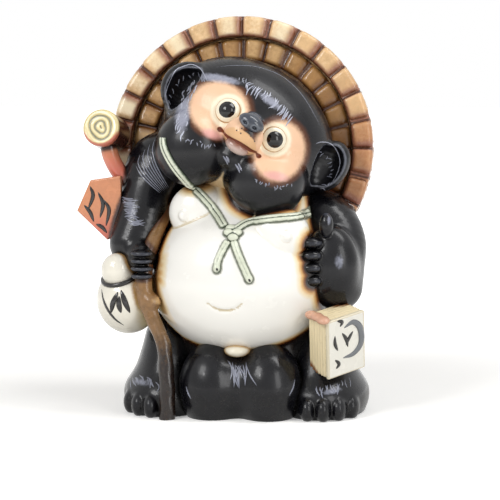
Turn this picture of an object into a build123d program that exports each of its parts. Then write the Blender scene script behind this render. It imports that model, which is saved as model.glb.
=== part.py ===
from build123d import *
import math
import os

# A glazed stoneware tanuki, a folk ornament whose pieces are pressed, rolled or modelled
# and then luted with slip.
# Millimetres. Z is up, the figure looks along -Y and its own right hand is at -X.
# The origin is on the floor, under the axis of the body.

os.makedirs("parts", exist_ok=True)

# Clay
SLIP = 0.25
BODY_WALL = 7.0
HEAD_WALL = 6.0
FLASK_WALL = 4.0

# Body: height of each section, half width, depth of the belly, depth of the back
BODY_SECTIONS = (
    (0, 57, 42, 56),
    (24, 57, 42, 58),
    (46, 56, 47, 57),
    (70, 57, 56, 55),
    (95, 56, 60, 51),
    (120, 51, 54, 46),
    (142, 43, 42, 39),
    (162, 30, 28, 26),
)
SEAM_BACK = 6.0
VENT_RADIUS = 6.0
VENT_BACK = 26.0
BELLY_MIDDLE = (-2, -20, 87)
BELLY_RADII = (60, 53, 52)
BREAST_RADII = (20, 13, 19)
BREAST_SINK = 8.0
BREAST_PLACES = {"right": (-28, 130), "left": (25, 117)}
NIPPLE_RADII = (3.0, 2.6, 3.0)
NIPPLE_PLACES = {"right": (-37, 129), "left": (31, 118)}

# Pouch and the knob above it
POUCH_RADII = (22, 26, 29)
POUCH_LOBE_OFFSET = 18.0
POUCH_FORWARD = 44.0
POUCH_RISE = 19.0
NUB_RADII = (8.5, 10, 4.4)
NUB_PLACE = (-1.5, 43.5)

# Legs: height, half width, half depth and forward shift of each section
LEG_SECTIONS = (
    (0, 28, 43, 14),
    (7, 30.5, 45.5, 14),
    (16, 30, 45, 14),
    (28, 23, 36, 12),
    (40, 19, 30, 10),
    (54, 15, 23, 8),
    (66, 7, 13, 6),
)
LEG_SPREAD = 50.0
TOE_RADII = (5.2, 8.0, 8.0)
TOE_RISE = 7.0
TOE_SINK = 3.0
TOE_ANGLES = {"right": (14, 34, 54), "left": (-12, 9, 30, 51)}

# Tail, rolled up against the back
TAIL_POINTS = ((0, 40, 62), (2, 56, 48), (4, 63, 30), (4, 62, 12), (4, 59, -6))
TAIL_RADII = (9, 13, 15, 14, 11)

# Arms and hands
ARM_POINTS = {
    "right": ((-40, 2, 160), (-58, -3, 159), (-65, -11, 142), (-68, -21, 124), (-73, -28, 109)),
    "left": ((34, 0, 128), (50, -5, 122), (59, -13, 110), (60, -21, 97), (61, -25, 83)),
}
ARM_RADII = {"right": (19, 21.5, 18, 17, 15), "left": (17, 20, 19, 18, 16)}
HAND_PLACES = {"right": (-64.5, -41, 101), "left": (57, -35, 97)}
HAND_RADII = {"right": (10, 11, 10), "left": (18, 15, 26)}
FINGER_COUNT = 4
FINGER_RADII = {"right": (7.0, 5.0, 2.3), "left": (7.0, 6.0, 3.9)}
TOP_FINGER_PLACES = {"right": (-63, -51.5, 105), "left": (45.6, -48.2, 113)}
THUMB_PLACE = (55, -46, 124)
THUMB_RADII = (4.5, 5.0, 8.0)

# Head: an egg that tilts towards the figure's left
HEAD_CENTRE = (1, -11, 181)
HEAD_HALF_WIDTH = 58.0
HEAD_HALF_DEPTH = 44.0
HEAD_HALF_HEIGHT = 45.0
HEAD_TILT = 32.0
HEAD_TURN = -3.0
JOWL_RADII = {"right": (23.8, 23, 25), "left": (25.8, 23, 25)}
JOWL_PLACES = {"right": (-24.5, -31, -23.8), "left": (26, -31, -16)}
EAR_RADII = {"right": (18.5, 10, 18.5), "left": (13, 10, 17.5)}
EAR_PLACES = {"right": (-47, -8, 3.5), "left": (55.5, -8, 10)}
EAR_RIM = 3.0
EAR_HOLLOW_FORWARD = 8.0
MUZZLE_RADII = (15, 17, 12)
MUZZLE_RISE = 3.0
NOSE_RADII = (8.6, 6.0, 5.2)
NOSE_RISE = 9.0
NOSE_REACH = 0.75
LIP_RADII = (8.2, 6.6, 4.4)
LIP_DROP = 9.0
LIP_REACH = 0.45
CHIN_RADII = (7, 6, 6)
CHIN_DROP = 15.0
EYE_RADIUS = 8.2
EYE_PROUD = 4.2
EYE_SPREAD = 17.0
EYE_RISE = 9.0

# Hat, hung behind the head
HAT_SIDEWAYS = -6.2
HAT_RISE = 169.7
HAT_RADIUS = 87.3
HAT_LEAN = 6.0
HAT_DEPTH = 30.0
HAT_WALL = 8.0
HAT_PRESS = 1.0
BRIM_WIDTH = 14.0
BRIM_FRONT = 6.0
BRIM_BACK = 6.0
BAND_WIDTH = 15.0
BAND_THICK = 6.0
STRAW_COUNT = 28
STRAW_GAP = 1.4
STRAW_GAP_DEPTH = 2.5
STRAW_ROUND = 2.0

# Chin cord: points across the chest as sideways place and height
CORD_RADIUS = 2.5
CORD_POINTS = {
    "right": ((-35, 150), (-28, 146), (-20, 140), (-13, 131), (-8, 123)),
    "left": ((1, 122), (8, 126), (18, 128), (28, 128), (38, 126)),
}
KNOT_PLACE = (-3.5, 119.5)
KNOT_RADII = (5.5, 4.5, 5.0)
CORD_TAIL_POINTS = {
    "right": ((-6, 113.5), (-9, 108), (-11, 103), (-11.5, 98)),
    "left": ((-2, 113.5), (0, 107), (3.5, 99), (8.5, 91)),
}

# Flask under the right hand, a gourd of two bulbs with a cord in its waist
FLASK_PLACE = (-76, -31, 72)
FLASK_LEAN = -11.0
FLASK_PITCH = 23.0
FLASK_BODY_RADII = (20, 20, 22)
FLASK_TOP_RADII = (11, 11, 12)
FLASK_TOP_RISE = 22.5
FLASK_WAIST_RISE = 18.5
FLASK_CORD_RADIUS = 1.6

# Ledger under the left hand
LEDGER_CORNER = (58, -57, 27)
LEDGER_TURN = -46.0
LEDGER_TILT = 15.0
LEDGER_THICK = 20.0
LEDGER_WIDTH = 30.0
LEDGER_HEIGHT = 39.0
COVER_THICK = 2.0
TIE_RADII = (9, 4, 2.8)
TIE_PROUD = 0.8

# Mallet and board at the right shoulder
MALLET_FACE = (-94.5, -24, 184.5)
MALLET_RADIUS = 12.3
MALLET_LENGTH = 27.0
MALLET_AXIS = (-0.12, -0.95, 0.24)
HANDLE_POINTS = ((-92, -13, 178), (-89.5, -15, 165), (-82, -15, 152), (-71, -14, 141))
HANDLE_RADIUS = 5.5
BOARD_CORNERS = ((-101, 150), (-110, 130), (-90, 111), (-80, 116), (-81, 153))
BOARD_BACK = 21.0
BOARD_THICK = 6.0

# Staff between the right hand and the floor
STAFF_POINTS = (
    (-52, -12, 139),
    (-54, -25, 125),
    (-57.5, -37, 112),
    (-61.5, -45, 98),
    (-62, -48, 81),
    (-56, -51, 63),
    (-48.5, -55, 48),
    (-46.5, -58, 33),
    (-45.5, -60, 20),
    (-45, -61, 7),
    (-45, -62, -6),
)
STAFF_RADII = (4.6, 4.6, 4.8, 5, 5.6, 4.8, 4.8, 4.9, 5, 5.1, 5.2)

SIDES = {"right": -1, "left": 1}
POLES_FORWARD = (90, 0, 0)
POLES_UP = (0, 0, 0)


def ellipsoid(plane, radii, grow=0.0, poles=POLES_FORWARD):
    """An ellipsoid about the plane's origin, with half sizes along the plane's own axes."""
    with BuildPart() as unit:
        Sphere(1, rotation=poles)
        scale(by=tuple(radius + grow for radius in radii))
    with BuildPart(plane) as placed:
        add(unit.part)
    return placed.part


def egg(centre, radii, grow=0.0, poles=POLES_FORWARD):
    """An ellipsoid along the axes of the model."""
    return ellipsoid(Plane(origin=centre), radii, grow, poles)


def rolled(points, radii, across=(0, 1, 0), grow=0.0):
    """A roll of clay of changing thickness through the points; no stretch of it may run along `across`."""
    places = [Vector(*point) for point in points]
    with BuildPart() as roll:
        for number, (place, radius) in enumerate(zip(places, radii)):
            before = places[max(number - 1, 0)]
            after = places[min(number + 1, len(places) - 1)]
            along = (after - before).normalized()
            with BuildSketch(Plane(origin=place, x_dir=along.cross(Vector(*across)), z_dir=along)):
                Circle(radius + grow)
        loft()
    return roll.part


def body_form(inset=0.0, below=0.0):
    """The body as one loft; the inset draws every section in, and below lengthens it under the floor."""
    with BuildPart() as form:
        for height, half_width, belly, back in BODY_SECTIONS:
            with BuildSketch(Plane.XY.offset(height if height else -below)):
                with BuildLine():
                    EllipticalCenterArc((0, 0), half_width - inset, belly - inset, 180, arc_size=180)
                    EllipticalCenterArc((0, 0), half_width - inset, back - inset, 0, arc_size=180)
                make_face()
        loft()
    return form.part


def trunk_form(grow=0.0, below=0.0):
    """The body with the round of the belly before it."""
    with BuildPart() as form:
        add(body_form(-grow, below))
        add(egg(BELLY_MIDDLE, BELLY_RADII, grow))
    return form.part


def body_size(height, column):
    """A half width (column 1) or the depth of the belly (column 2) of the body at a height."""
    for lower, upper in zip(BODY_SECTIONS, BODY_SECTIONS[1:]):
        if height <= upper[0]:
            break
    share = (height - lower[0]) / (upper[0] - lower[0])
    return lower[column] + share * (upper[column] - lower[column])


def egg_front(place, centre, radii):
    """The y of an egg's front at a sideways place and a height, or 0 where the egg is missed."""
    across = (place[0] - centre[0]) / radii[0]
    up = (place[1] - centre[2]) / radii[2]
    room = 1 - across**2 - up**2
    return centre[1] - radii[1] * math.sqrt(room) if room > 0 else 0.0


def on_belly(place, sink=0.0):
    """The point of the belly at a sideways place and a height, moved in along +Y."""
    sideways, height = place
    reach = math.sqrt(max(1 - (sideways / body_size(height, 1)) ** 2, 0))
    front = min(-body_size(height, 2) * reach, egg_front(place, BELLY_MIDDLE, BELLY_RADII))
    return (sideways, front + sink, height)


def on_chest(place):
    """As on_belly, but on the breast where it stands proud of the belly."""
    fronts = [on_belly(place)[1]]
    for breast in BREAST_PLACES.values():
        fronts.append(egg_front(place, on_belly(breast, BREAST_SINK), BREAST_RADII))
    return (place[0], min(fronts), place[1])


def torso_form(grow=0.0):
    """The outside of the body with both breasts."""
    with BuildPart() as form:
        add(trunk_form(grow, grow))
        for place in BREAST_PLACES.values():
            add(egg(on_belly(place, BREAST_SINK), BREAST_RADII, grow))
    return form.part


HEAD_PLANE = Plane(Location(HEAD_CENTRE, (0, HEAD_TILT, -HEAD_TURN)))
HEAD_RADII = (HEAD_HALF_WIDTH, HEAD_HALF_DEPTH, HEAD_HALF_HEIGHT)


def head_plane(x, y, z):
    """The head's own axes, moved to a point of the head's frame."""
    return Plane(HEAD_PLANE.location * Location((x, y, z)))


def skull_front(x, z):
    """How far the front of the skull lies before the middle of the head."""
    return HEAD_HALF_DEPTH * math.sqrt(1 - (x / HEAD_HALF_WIDTH) ** 2 - (z / HEAD_HALF_HEIGHT) ** 2)


def skull_plane(x, z):
    """A plane that touches the front of the skull, looking out."""
    y = -skull_front(x, z)
    out = Vector(x / HEAD_HALF_WIDTH**2, y / HEAD_HALF_DEPTH**2, z / HEAD_HALF_HEIGHT**2).normalized()
    start = HEAD_PLANE.from_local_coords((x, y, z))
    tip = HEAD_PLANE.from_local_coords((x + out.X, y + out.Y, z + out.Z))
    return Plane(origin=start, x_dir=HEAD_PLANE.x_dir, z_dir=tip - start)


HAT_SEAT_DEPTH = HAT_DEPTH - HAT_WALL
HAT_FORWARD = HEAD_CENTRE[1] + HEAD_HALF_DEPTH - HAT_SEAT_DEPTH - HAT_PRESS
HAT_PLANE = Plane(Location((HAT_SIDEWAYS, HAT_FORWARD, HAT_RISE), (-90 - HAT_LEAN, 0, 0)))
BRIM_INNER = HAT_RADIUS - BRIM_WIDTH
BAND_INNER = BRIM_INNER - BAND_WIDTH


def on_plane(solid, plane):
    """A solid that was drawn at the origin, moved to a plane."""
    with BuildPart(plane) as moved:
        add(solid)
    return moved.part


def dome(radius, start, peak):
    """A cap of a ball about Z, from a flat face of the given radius at start to its peak."""
    rise = peak - start
    ball = (radius**2 + rise**2) / (2 * rise)
    with BuildPart() as form:
        with Locations((0, 0, peak - ball)):
            Sphere(ball, rotation=POLES_FORWARD)
        split(bisect_by=Plane.XY.offset(start), keep=Keep.TOP)
    return form.part


def ring(outer, inner, low, high):
    """A flat ring about Z."""
    with BuildPart() as form:
        with BuildSketch(Plane.XY.offset(low)):
            Circle(outer)
            Circle(inner, mode=Mode.SUBTRACT)
        extrude(amount=high - low)
    return form.part


def straw_ring(outer, inner, front, back):
    """A ring of straw bundles: its front face is notched between one bundle and the next."""
    with BuildPart() as form:
        add(ring(outer, inner, front, back))
        rims = form.faces().sort_by(Axis.Z)[0].edges()
        fillet(rims, STRAW_ROUND)
        with Locations((0, 0, front)):
            with PolarLocations((outer + inner) / 2, STRAW_COUNT):
                Box(2 * (outer - inner), STRAW_GAP, 2 * STRAW_GAP_DEPTH, mode=Mode.SUBTRACT)
    return form.part


def hat_forms(grow=0.0):
    """The whole hat as a plain ring and a domed back."""
    front = ring(HAT_RADIUS + grow, BAND_INNER - grow, -BRIM_FRONT - grow, BRIM_BACK)
    back = dome(HAT_RADIUS + grow, BRIM_BACK, HAT_DEPTH + grow)
    return on_plane(front, HAT_PLANE), on_plane(back, HAT_PLANE)


def leg_form(side, grow=0.0):
    """A foot that draws in to the haunch."""
    with BuildPart() as form:
        for height, half_width, half_depth, forward in LEG_SECTIONS:
            with BuildSketch(Plane(origin=(SIDES[side] * LEG_SPREAD, -forward, height))):
                Ellipse(half_width + grow, half_depth + grow)
        loft()
    return form.part


def pouch_form(grow=0.0):
    """Two lobes that lean together."""
    with BuildPart() as form:
        for sign in SIDES.values():
            add(egg((sign * POUCH_LOBE_OFFSET, -POUCH_FORWARD, POUCH_RISE), POUCH_RADII, grow))
    return form.part


def ear_form(side, grow=0.0):
    """The outside of an ear, at the side of the skull."""
    return ellipsoid(head_plane(*EAR_PLACES[side]), EAR_RADII[side], grow)


def jowl_form(side, grow=0.0):
    """A cheek ruff."""
    return ellipsoid(head_plane(*JOWL_PLACES[side]), JOWL_RADII[side], grow)


def eye_form(side, grow=0.0):
    """A low dome on the front of the skull."""
    radii = (EYE_RADIUS, EYE_RADIUS, EYE_PROUD)
    return ellipsoid(skull_plane(SIDES[side] * EYE_SPREAD, EYE_RISE), radii, grow, POLES_UP)


MUZZLE_FRONT = skull_front(0, MUZZLE_RISE)


def muzzle_form(grow=0.0):
    return ellipsoid(head_plane(0, -MUZZLE_FRONT, MUZZLE_RISE), MUZZLE_RADII, grow)


def staff_form(grow=0.0):
    return rolled(STAFF_POINTS, STAFF_RADII, grow=grow)


def arm_form(side, grow=0.0):
    return rolled(ARM_POINTS[side], ARM_RADII[side], across=(0, 0.4, 0.9), grow=grow)


def hand_form(side, grow=0.0):
    return egg(HAND_PLACES[side], HAND_RADII[side], grow)


def flask_plane(rise):
    """A plane across the flask, at a height over the middle of its lower bulb."""
    return Plane(Location(FLASK_PLACE, (FLASK_PITCH, FLASK_LEAN, 0)) * Location((0, 0, rise)))


def flask_bulbs(grow=0.0):
    """The lower and the upper bulb of the gourd."""
    lower = ellipsoid(flask_plane(0), FLASK_BODY_RADII, grow, POLES_UP)
    upper = ellipsoid(flask_plane(FLASK_TOP_RISE), FLASK_TOP_RADII, grow, POLES_UP)
    return lower, upper


def flask_form(grow=0.0):
    with BuildPart() as form:
        for bulb in flask_bulbs(grow):
            add(bulb)
    return form.part


def bulb_radius(radii, rise):
    """The radius of a bulb at the height of the waist."""
    return radii[0] * math.sqrt(max(1 - ((FLASK_WAIST_RISE - rise) / radii[2]) ** 2, 0))


def mallet_form(grow=0.0):
    with BuildPart() as form:
        with BuildSketch(Plane(origin=MALLET_FACE, z_dir=MALLET_AXIS)):
            Circle(MALLET_RADIUS + grow)
        extrude(amount=-MALLET_LENGTH)
    return form.part


def cord_form(places):
    """A cord along the chest."""
    return rolled([on_chest(place) for place in places], [CORD_RADIUS] * len(places))


def handle_form(grow=0.0):
    return rolled(HANDLE_POINTS, [HANDLE_RADIUS] * len(HANDLE_POINTS), grow=grow)


def cut_by(*seats):
    """Cuts the piece that is being built by the forms it is seated against."""
    for seat in seats:
        add(seat, mode=Mode.SUBTRACT)


def cut_at_floor():
    split(bisect_by=Plane.XY, keep=Keep.TOP)


def keep(piece, name):
    """Names a finished piece and writes it."""
    piece.part.label = name
    export_step(piece.part, f"parts/{name}.step")


# The forms that smaller pieces are seated against, grown by the slip joint
HEAD_SEAT = ellipsoid(HEAD_PLANE, HEAD_RADII, SLIP, POLES_UP)
TORSO_SEAT = torso_form(SLIP)
HAT_SEATS = hat_forms(SLIP)
POUCH_SEAT = pouch_form(SLIP)
STAFF_SEAT = staff_form(SLIP)
MUZZLE_SEAT = muzzle_form(SLIP)
FLASK_SEAT = flask_form(SLIP)
LEG_SEATS = {side: leg_form(side, SLIP) for side in SIDES}
ARM_SEATS = {side: arm_form(side, SLIP) for side in SIDES}
HAND_SEATS = {side: hand_form(side, SLIP) for side in SIDES}
EAR_SEATS = {side: ear_form(side, SLIP) for side in SIDES}
JOWL_SEATS = {side: jowl_form(side, SLIP) for side in SIDES}
EYE_SEATS = {side: eye_form(side, SLIP) for side in SIDES}

# Body, pressed hollow in two halves that meet behind the arms, with a vent under the back half
with BuildPart() as body:
    add(torso_form())
    add(trunk_form(-BODY_WALL, -BODY_WALL), mode=Mode.SUBTRACT)
    with Locations((0, VENT_BACK, 0)):
        Cylinder(VENT_RADIUS, 3 * BODY_WALL, mode=Mode.SUBTRACT)
    cut_by(HEAD_SEAT)

SEAM_PLANE = Plane.XZ.offset(-SEAM_BACK)
with BuildPart() as belly_shell:
    add(body.part)
    split(bisect_by=SEAM_PLANE, keep=Keep.TOP)
keep(belly_shell, "belly_shell")

with BuildPart() as back_shell:
    add(body.part)
    split(bisect_by=SEAM_PLANE, keep=Keep.BOTTOM)
keep(back_shell, "back_shell")

for side in SIDES:
    with BuildPart() as nipple:
        add(egg(on_chest(NIPPLE_PLACES[side]), NIPPLE_RADII))
        cut_by(TORSO_SEAT)
    keep(nipple, f"{side}_nipple")

# Pouch, knob, legs and tail
with BuildPart() as money_pouch:
    add(pouch_form())
    cut_by(TORSO_SEAT)
    cut_at_floor()
keep(money_pouch, "money_pouch")

with BuildPart() as front_nub:
    add(egg(on_belly(NUB_PLACE), NUB_RADII))
    cut_by(TORSO_SEAT, POUCH_SEAT)
keep(front_nub, "front_nub")

for side, sign in SIDES.items():
    with BuildPart() as leg:
        add(leg_form(side))
        cut_by(TORSO_SEAT, POUCH_SEAT)
    keep(leg, f"{side}_leg")

    widest = LEG_SECTIONS[1]
    with BuildPart() as toes:
        for angle in map(math.radians, TOE_ANGLES[side]):
            x = LEG_SPREAD + (widest[1] - TOE_SINK) * math.sin(angle)
            y = -widest[3] - (widest[2] - TOE_SINK) * math.cos(angle)
            add(egg((sign * x, y, TOE_RISE), TOE_RADII))
        cut_by(LEG_SEATS[side])
        cut_at_floor()
    keep(toes, f"{side}_toes")

with BuildPart() as tail:
    add(rolled(TAIL_POINTS, TAIL_RADII, across=(1, 0, 0)))
    cut_by(TORSO_SEAT, *LEG_SEATS.values())
    cut_at_floor()
keep(tail, "tail")

# Head and face
with BuildPart() as head_shell:
    add(ellipsoid(HEAD_PLANE, HEAD_RADII, poles=POLES_UP))
    add(ellipsoid(HEAD_PLANE, HEAD_RADII, -HEAD_WALL, POLES_UP), mode=Mode.SUBTRACT)
keep(head_shell, "head_shell")

for side in SIDES:
    x, y, z = EAR_PLACES[side]
    ear_hollow = head_plane(x, y - EAR_HOLLOW_FORWARD, z)
    with BuildPart() as ear:
        add(ear_form(side))
        add(ellipsoid(ear_hollow, EAR_RADII[side], -EAR_RIM), mode=Mode.SUBTRACT)
        cut_by(HEAD_SEAT, *HAT_SEATS)
    keep(ear, f"{side}_ear")

    with BuildPart() as jowl:
        add(jowl_form(side))
        cut_by(HEAD_SEAT, TORSO_SEAT, EYE_SEATS[side])
        if side == "left":
            cut_by(JOWL_SEATS["right"])
    keep(jowl, f"{side}_jowl")

    with BuildPart() as eye:
        add(eye_form(side))
        cut_by(HEAD_SEAT)
    keep(eye, f"{side}_eye")

with BuildPart() as muzzle:
    add(muzzle_form())
    cut_by(HEAD_SEAT, *JOWL_SEATS.values(), *EYE_SEATS.values())
keep(muzzle, "muzzle")

nose_plane = head_plane(0, -MUZZLE_FRONT - MUZZLE_RADII[1] * NOSE_REACH, MUZZLE_RISE + NOSE_RISE)
with BuildPart() as nose:
    add(ellipsoid(nose_plane, NOSE_RADII))
    cut_by(MUZZLE_SEAT, HEAD_SEAT, *EYE_SEATS.values())
keep(nose, "nose")

lip_plane = head_plane(0, -MUZZLE_FRONT - MUZZLE_RADII[1] * LIP_REACH, MUZZLE_RISE - LIP_DROP)
with BuildPart() as lower_lip:
    add(ellipsoid(lip_plane, LIP_RADII))
    cut_by(MUZZLE_SEAT, HEAD_SEAT, *JOWL_SEATS.values())
keep(lower_lip, "lower_lip")

LIP_SEAT = ellipsoid(lip_plane, LIP_RADII, SLIP)
with BuildPart() as chin_tuft:
    add(ellipsoid(head_plane(0, -skull_front(0, CHIN_DROP), -CHIN_DROP), CHIN_RADII))
    cut_by(HEAD_SEAT, TORSO_SEAT, MUZZLE_SEAT, LIP_SEAT, *JOWL_SEATS.values())
keep(chin_tuft, "chin_tuft")

# Hat
with BuildPart() as hat_crown:
    add(on_plane(dome(HAT_RADIUS, BRIM_BACK, HAT_DEPTH), HAT_PLANE))
    add(on_plane(dome(BAND_INNER, BRIM_BACK, HAT_SEAT_DEPTH), HAT_PLANE), mode=Mode.SUBTRACT)
    cut_by(HEAD_SEAT, TORSO_SEAT)
keep(hat_crown, "hat_crown")

with BuildPart() as hat_brim:
    add(on_plane(straw_ring(HAT_RADIUS, BRIM_INNER, -BRIM_FRONT, BRIM_BACK), HAT_PLANE))
    cut_by(HEAD_SEAT, TORSO_SEAT)
keep(hat_brim, "hat_brim")

with BuildPart() as hat_inner_band:
    add(on_plane(straw_ring(BRIM_INNER - SLIP, BAND_INNER, BRIM_BACK - BAND_THICK, BRIM_BACK), HAT_PLANE))
    cut_by(HEAD_SEAT, TORSO_SEAT)
keep(hat_inner_band, "hat_inner_band")

# Staff, arms and hands
with BuildPart() as staff:
    add(staff_form())
    cut_by(TORSO_SEAT, POUCH_SEAT, LEG_SEATS["right"])
    cut_at_floor()
keep(staff, "staff")

for side in SIDES:
    with BuildPart() as arm:
        add(arm_form(side))
        cut_by(TORSO_SEAT, HEAD_SEAT, *HAT_SEATS, JOWL_SEATS[side], EAR_SEATS[side], LEG_SEATS[side])
        if side == "right":
            cut_by(STAFF_SEAT)
    keep(arm, f"{side}_arm")

    with BuildPart() as hand:
        add(hand_form(side))
        cut_by(TORSO_SEAT, ARM_SEATS[side], LEG_SEATS[side])
        if side == "right":
            cut_by(STAFF_SEAT)
    keep(hand, f"{side}_hand")

    x, y, z = TOP_FINGER_PLACES[side]
    finger_pitch = 2 * FINGER_RADII[side][2] + SLIP
    with BuildPart() as fingers:
        for number in range(FINGER_COUNT):
            add(egg((x, y, z - number * finger_pitch), FINGER_RADII[side]))
        if side == "left":
            add(egg(THUMB_PLACE, THUMB_RADII))
        cut_by(TORSO_SEAT, ARM_SEATS[side], HAND_SEATS[side])
        if side == "right":
            cut_by(STAFF_SEAT)
    keep(fingers, f"{side}_fingers")

# Chin cord
with BuildPart() as cord_knot:
    add(egg(on_chest(KNOT_PLACE), KNOT_RADII))
    cut_by(TORSO_SEAT)
keep(cord_knot, "cord_knot")

KNOT_SEAT = egg(on_chest(KNOT_PLACE), KNOT_RADII, SLIP)
for side in SIDES:
    with BuildPart() as chin_cord:
        add(cord_form(CORD_POINTS[side]))
        cut_by(TORSO_SEAT, KNOT_SEAT, JOWL_SEATS[side], ARM_SEATS[side])
    keep(chin_cord, f"{side}_chin_cord")

    with BuildPart() as cord_tail:
        add(cord_form(CORD_TAIL_POINTS[side]))
        cut_by(TORSO_SEAT, KNOT_SEAT)
    keep(cord_tail, f"{side}_cord_tail")

# Things carried
with BuildPart() as flask:
    add(flask_form())
    add(flask_form(-FLASK_WALL), mode=Mode.SUBTRACT)
    cut_by(TORSO_SEAT, ARM_SEATS["right"], HAND_SEATS["right"], LEG_SEATS["right"], STAFF_SEAT)
keep(flask, "flask")

waist_radius = max(
    bulb_radius(FLASK_BODY_RADII, 0),
    bulb_radius(FLASK_TOP_RADII, FLASK_TOP_RISE),
)
with BuildPart(flask_plane(FLASK_WAIST_RISE)) as cord_ring:
    Torus(waist_radius + FLASK_CORD_RADIUS / 2, FLASK_CORD_RADIUS)
with BuildPart() as flask_cord:
    add(cord_ring.part)
    cut_by(*flask_bulbs(SLIP))
    cut_by(TORSO_SEAT, ARM_SEATS["right"], HAND_SEATS["right"], STAFF_SEAT)
keep(flask_cord, "flask_cord")

LEDGER_PLANE = Plane(Location(LEDGER_CORNER, (LEDGER_TILT, 0, LEDGER_TURN)))
LEDGER_SEATS = (TORSO_SEAT, ARM_SEATS["left"], HAND_SEATS["left"], LEG_SEATS["left"])
PAGES_THICK = LEDGER_THICK - COVER_THICK

with BuildPart(LEDGER_PLANE) as pages_block:
    with Locations((-COVER_THICK - PAGES_THICK / 2, LEDGER_WIDTH / 2, LEDGER_HEIGHT / 2)):
        Box(PAGES_THICK, LEDGER_WIDTH, LEDGER_HEIGHT)
with BuildPart() as ledger_pages:
    add(pages_block.part)
    cut_by(*LEDGER_SEATS)
keep(ledger_pages, "ledger_pages")

with BuildPart(LEDGER_PLANE) as cover_plate:
    with Locations((-COVER_THICK / 2, LEDGER_WIDTH / 2, LEDGER_HEIGHT / 2)):
        Box(COVER_THICK, LEDGER_WIDTH, LEDGER_HEIGHT)
with BuildPart() as ledger_cover:
    add(cover_plate.part)
    cut_by(*LEDGER_SEATS)
keep(ledger_cover, "ledger_cover")

with BuildPart(LEDGER_PLANE) as ledger_seat:
    with Locations((-LEDGER_THICK / 2, LEDGER_WIDTH / 2, LEDGER_HEIGHT / 2)):
        Box(LEDGER_THICK + 2 * SLIP, LEDGER_WIDTH + 2 * SLIP, LEDGER_HEIGHT + 2 * SLIP)
tie_place = Location((-PAGES_THICK / 2, -TIE_PROUD, LEDGER_HEIGHT + TIE_PROUD))
tie_plane = Plane(LEDGER_PLANE.location * tie_place)
with BuildPart() as ledger_tie:
    add(ellipsoid(tie_plane, TIE_RADII, poles=POLES_UP))
    cut_by(*LEDGER_SEATS)
    cut_by(ledger_seat.part)
keep(ledger_tie, "ledger_tie")

with BuildPart() as mallet_head:
    add(mallet_form())
    cut_by(*HAT_SEATS, ARM_SEATS["right"])
keep(mallet_head, "mallet_head")

with BuildPart() as mallet_handle:
    add(handle_form())
    cut_by(mallet_form(SLIP), ARM_SEATS["right"], TORSO_SEAT, *HAT_SEATS)
keep(mallet_handle, "mallet_handle")

with BuildPart() as sign_board:
    with BuildSketch(Plane.XZ.offset(BOARD_BACK)):
        with BuildLine():
            Polyline(*BOARD_CORNERS, close=True)
        make_face()
    extrude(amount=BOARD_THICK)
    cut_by(ARM_SEATS["right"], HAND_SEATS["right"], FLASK_SEAT)
    cut_by(handle_form(SLIP), mallet_form(SLIP))
keep(sign_board, "sign_board")
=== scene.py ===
import math

import bpy
import numpy as np
from mathutils import Matrix, Vector


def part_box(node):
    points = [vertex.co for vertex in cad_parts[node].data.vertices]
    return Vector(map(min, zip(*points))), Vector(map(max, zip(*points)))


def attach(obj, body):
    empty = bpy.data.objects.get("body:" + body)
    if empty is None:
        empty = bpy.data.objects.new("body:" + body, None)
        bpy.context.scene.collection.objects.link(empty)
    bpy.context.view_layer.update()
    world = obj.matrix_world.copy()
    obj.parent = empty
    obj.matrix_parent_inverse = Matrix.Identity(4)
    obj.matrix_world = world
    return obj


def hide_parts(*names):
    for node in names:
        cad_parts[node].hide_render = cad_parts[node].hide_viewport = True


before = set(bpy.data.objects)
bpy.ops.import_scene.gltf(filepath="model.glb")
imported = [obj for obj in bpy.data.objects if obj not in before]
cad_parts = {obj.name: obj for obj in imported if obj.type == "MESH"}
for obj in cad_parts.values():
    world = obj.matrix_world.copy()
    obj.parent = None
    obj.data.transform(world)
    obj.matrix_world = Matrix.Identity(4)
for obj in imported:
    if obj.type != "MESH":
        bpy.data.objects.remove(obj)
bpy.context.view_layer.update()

# Lengths are in millimetres until a mesh is made. Z is up and the figure looks along -Y.
# A place written as (across, down) is a spot of the 500 x 500 picture that the camera takes.
MM = 0.001

# Camera
AIM = np.array((0.96, -2.74, 103.1))
AZIMUTH = math.radians(7.0)
ELEVATION = math.radians(6.0)
DISTANCE = 1300.0
FIELD_WIDTH = 330.0
SENSOR_WIDTH = 36
PICTURE = 500

# Figure, with the sizes of the solids
BODY_ROWS = (
    (0, 57, 42, 56), (24, 57, 42, 58), (46, 56, 47, 57), (70, 57, 56, 55),
    (95, 56, 60, 51), (120, 51, 54, 46), (142, 43, 42, 39), (162, 30, 28, 26),
)
BELLY_MIDDLE = (-2, -20, 87)
BELLY_RADII = (60, 53, 52)
BREASTS = ((-28, 130), (25, 117))
BREAST_RADII = (20, 13, 19)
BREAST_DEPTH = 8
NIPPLES = ((-37, 129), (31, 118))
NIPPLE_RADII = (3.2, 2.4, 3.2)
NIPPLE_DEPTH = 0.6
LEG_ROWS = ((0, 28, 43), (7, 30.5, 45.5), (16, 30, 45), (28, 23, 36), (40, 19, 30), (54, 15, 23), (66, 7, 13))
LEG_SPREAD = 50.0
LEG_Y = -13
TOE_MIDDLE_Y = -14
TOE_REACH = (27.5, 42.5)
TOE_RISE = 7
TOE_RADII = (5.2, 8, 8)
TOE_ANGLES = {"right": (14, 34, 54), "left": (-12, 9, 30, 51)}
TAIL = ((0, 40, 62), (2, 56, 48), (4, 63, 30), (4, 62, 12), (4, 59, -6))
TAIL_RADII = (9, 13, 15, 14, 11)
ARMS = {
    "right": ((-40, 2, 160), (-58, -3, 159), (-65, -11, 142), (-68, -21, 124), (-73, -28, 109)),
    "left": ((34, 0, 128), (50, -5, 122), (59, -13, 110), (60, -21, 97), (61, -25, 83)),
}
ARM_RADII = {"right": (19, 21.5, 18, 17, 15), "left": (17, 20, 19, 18, 16)}
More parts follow.
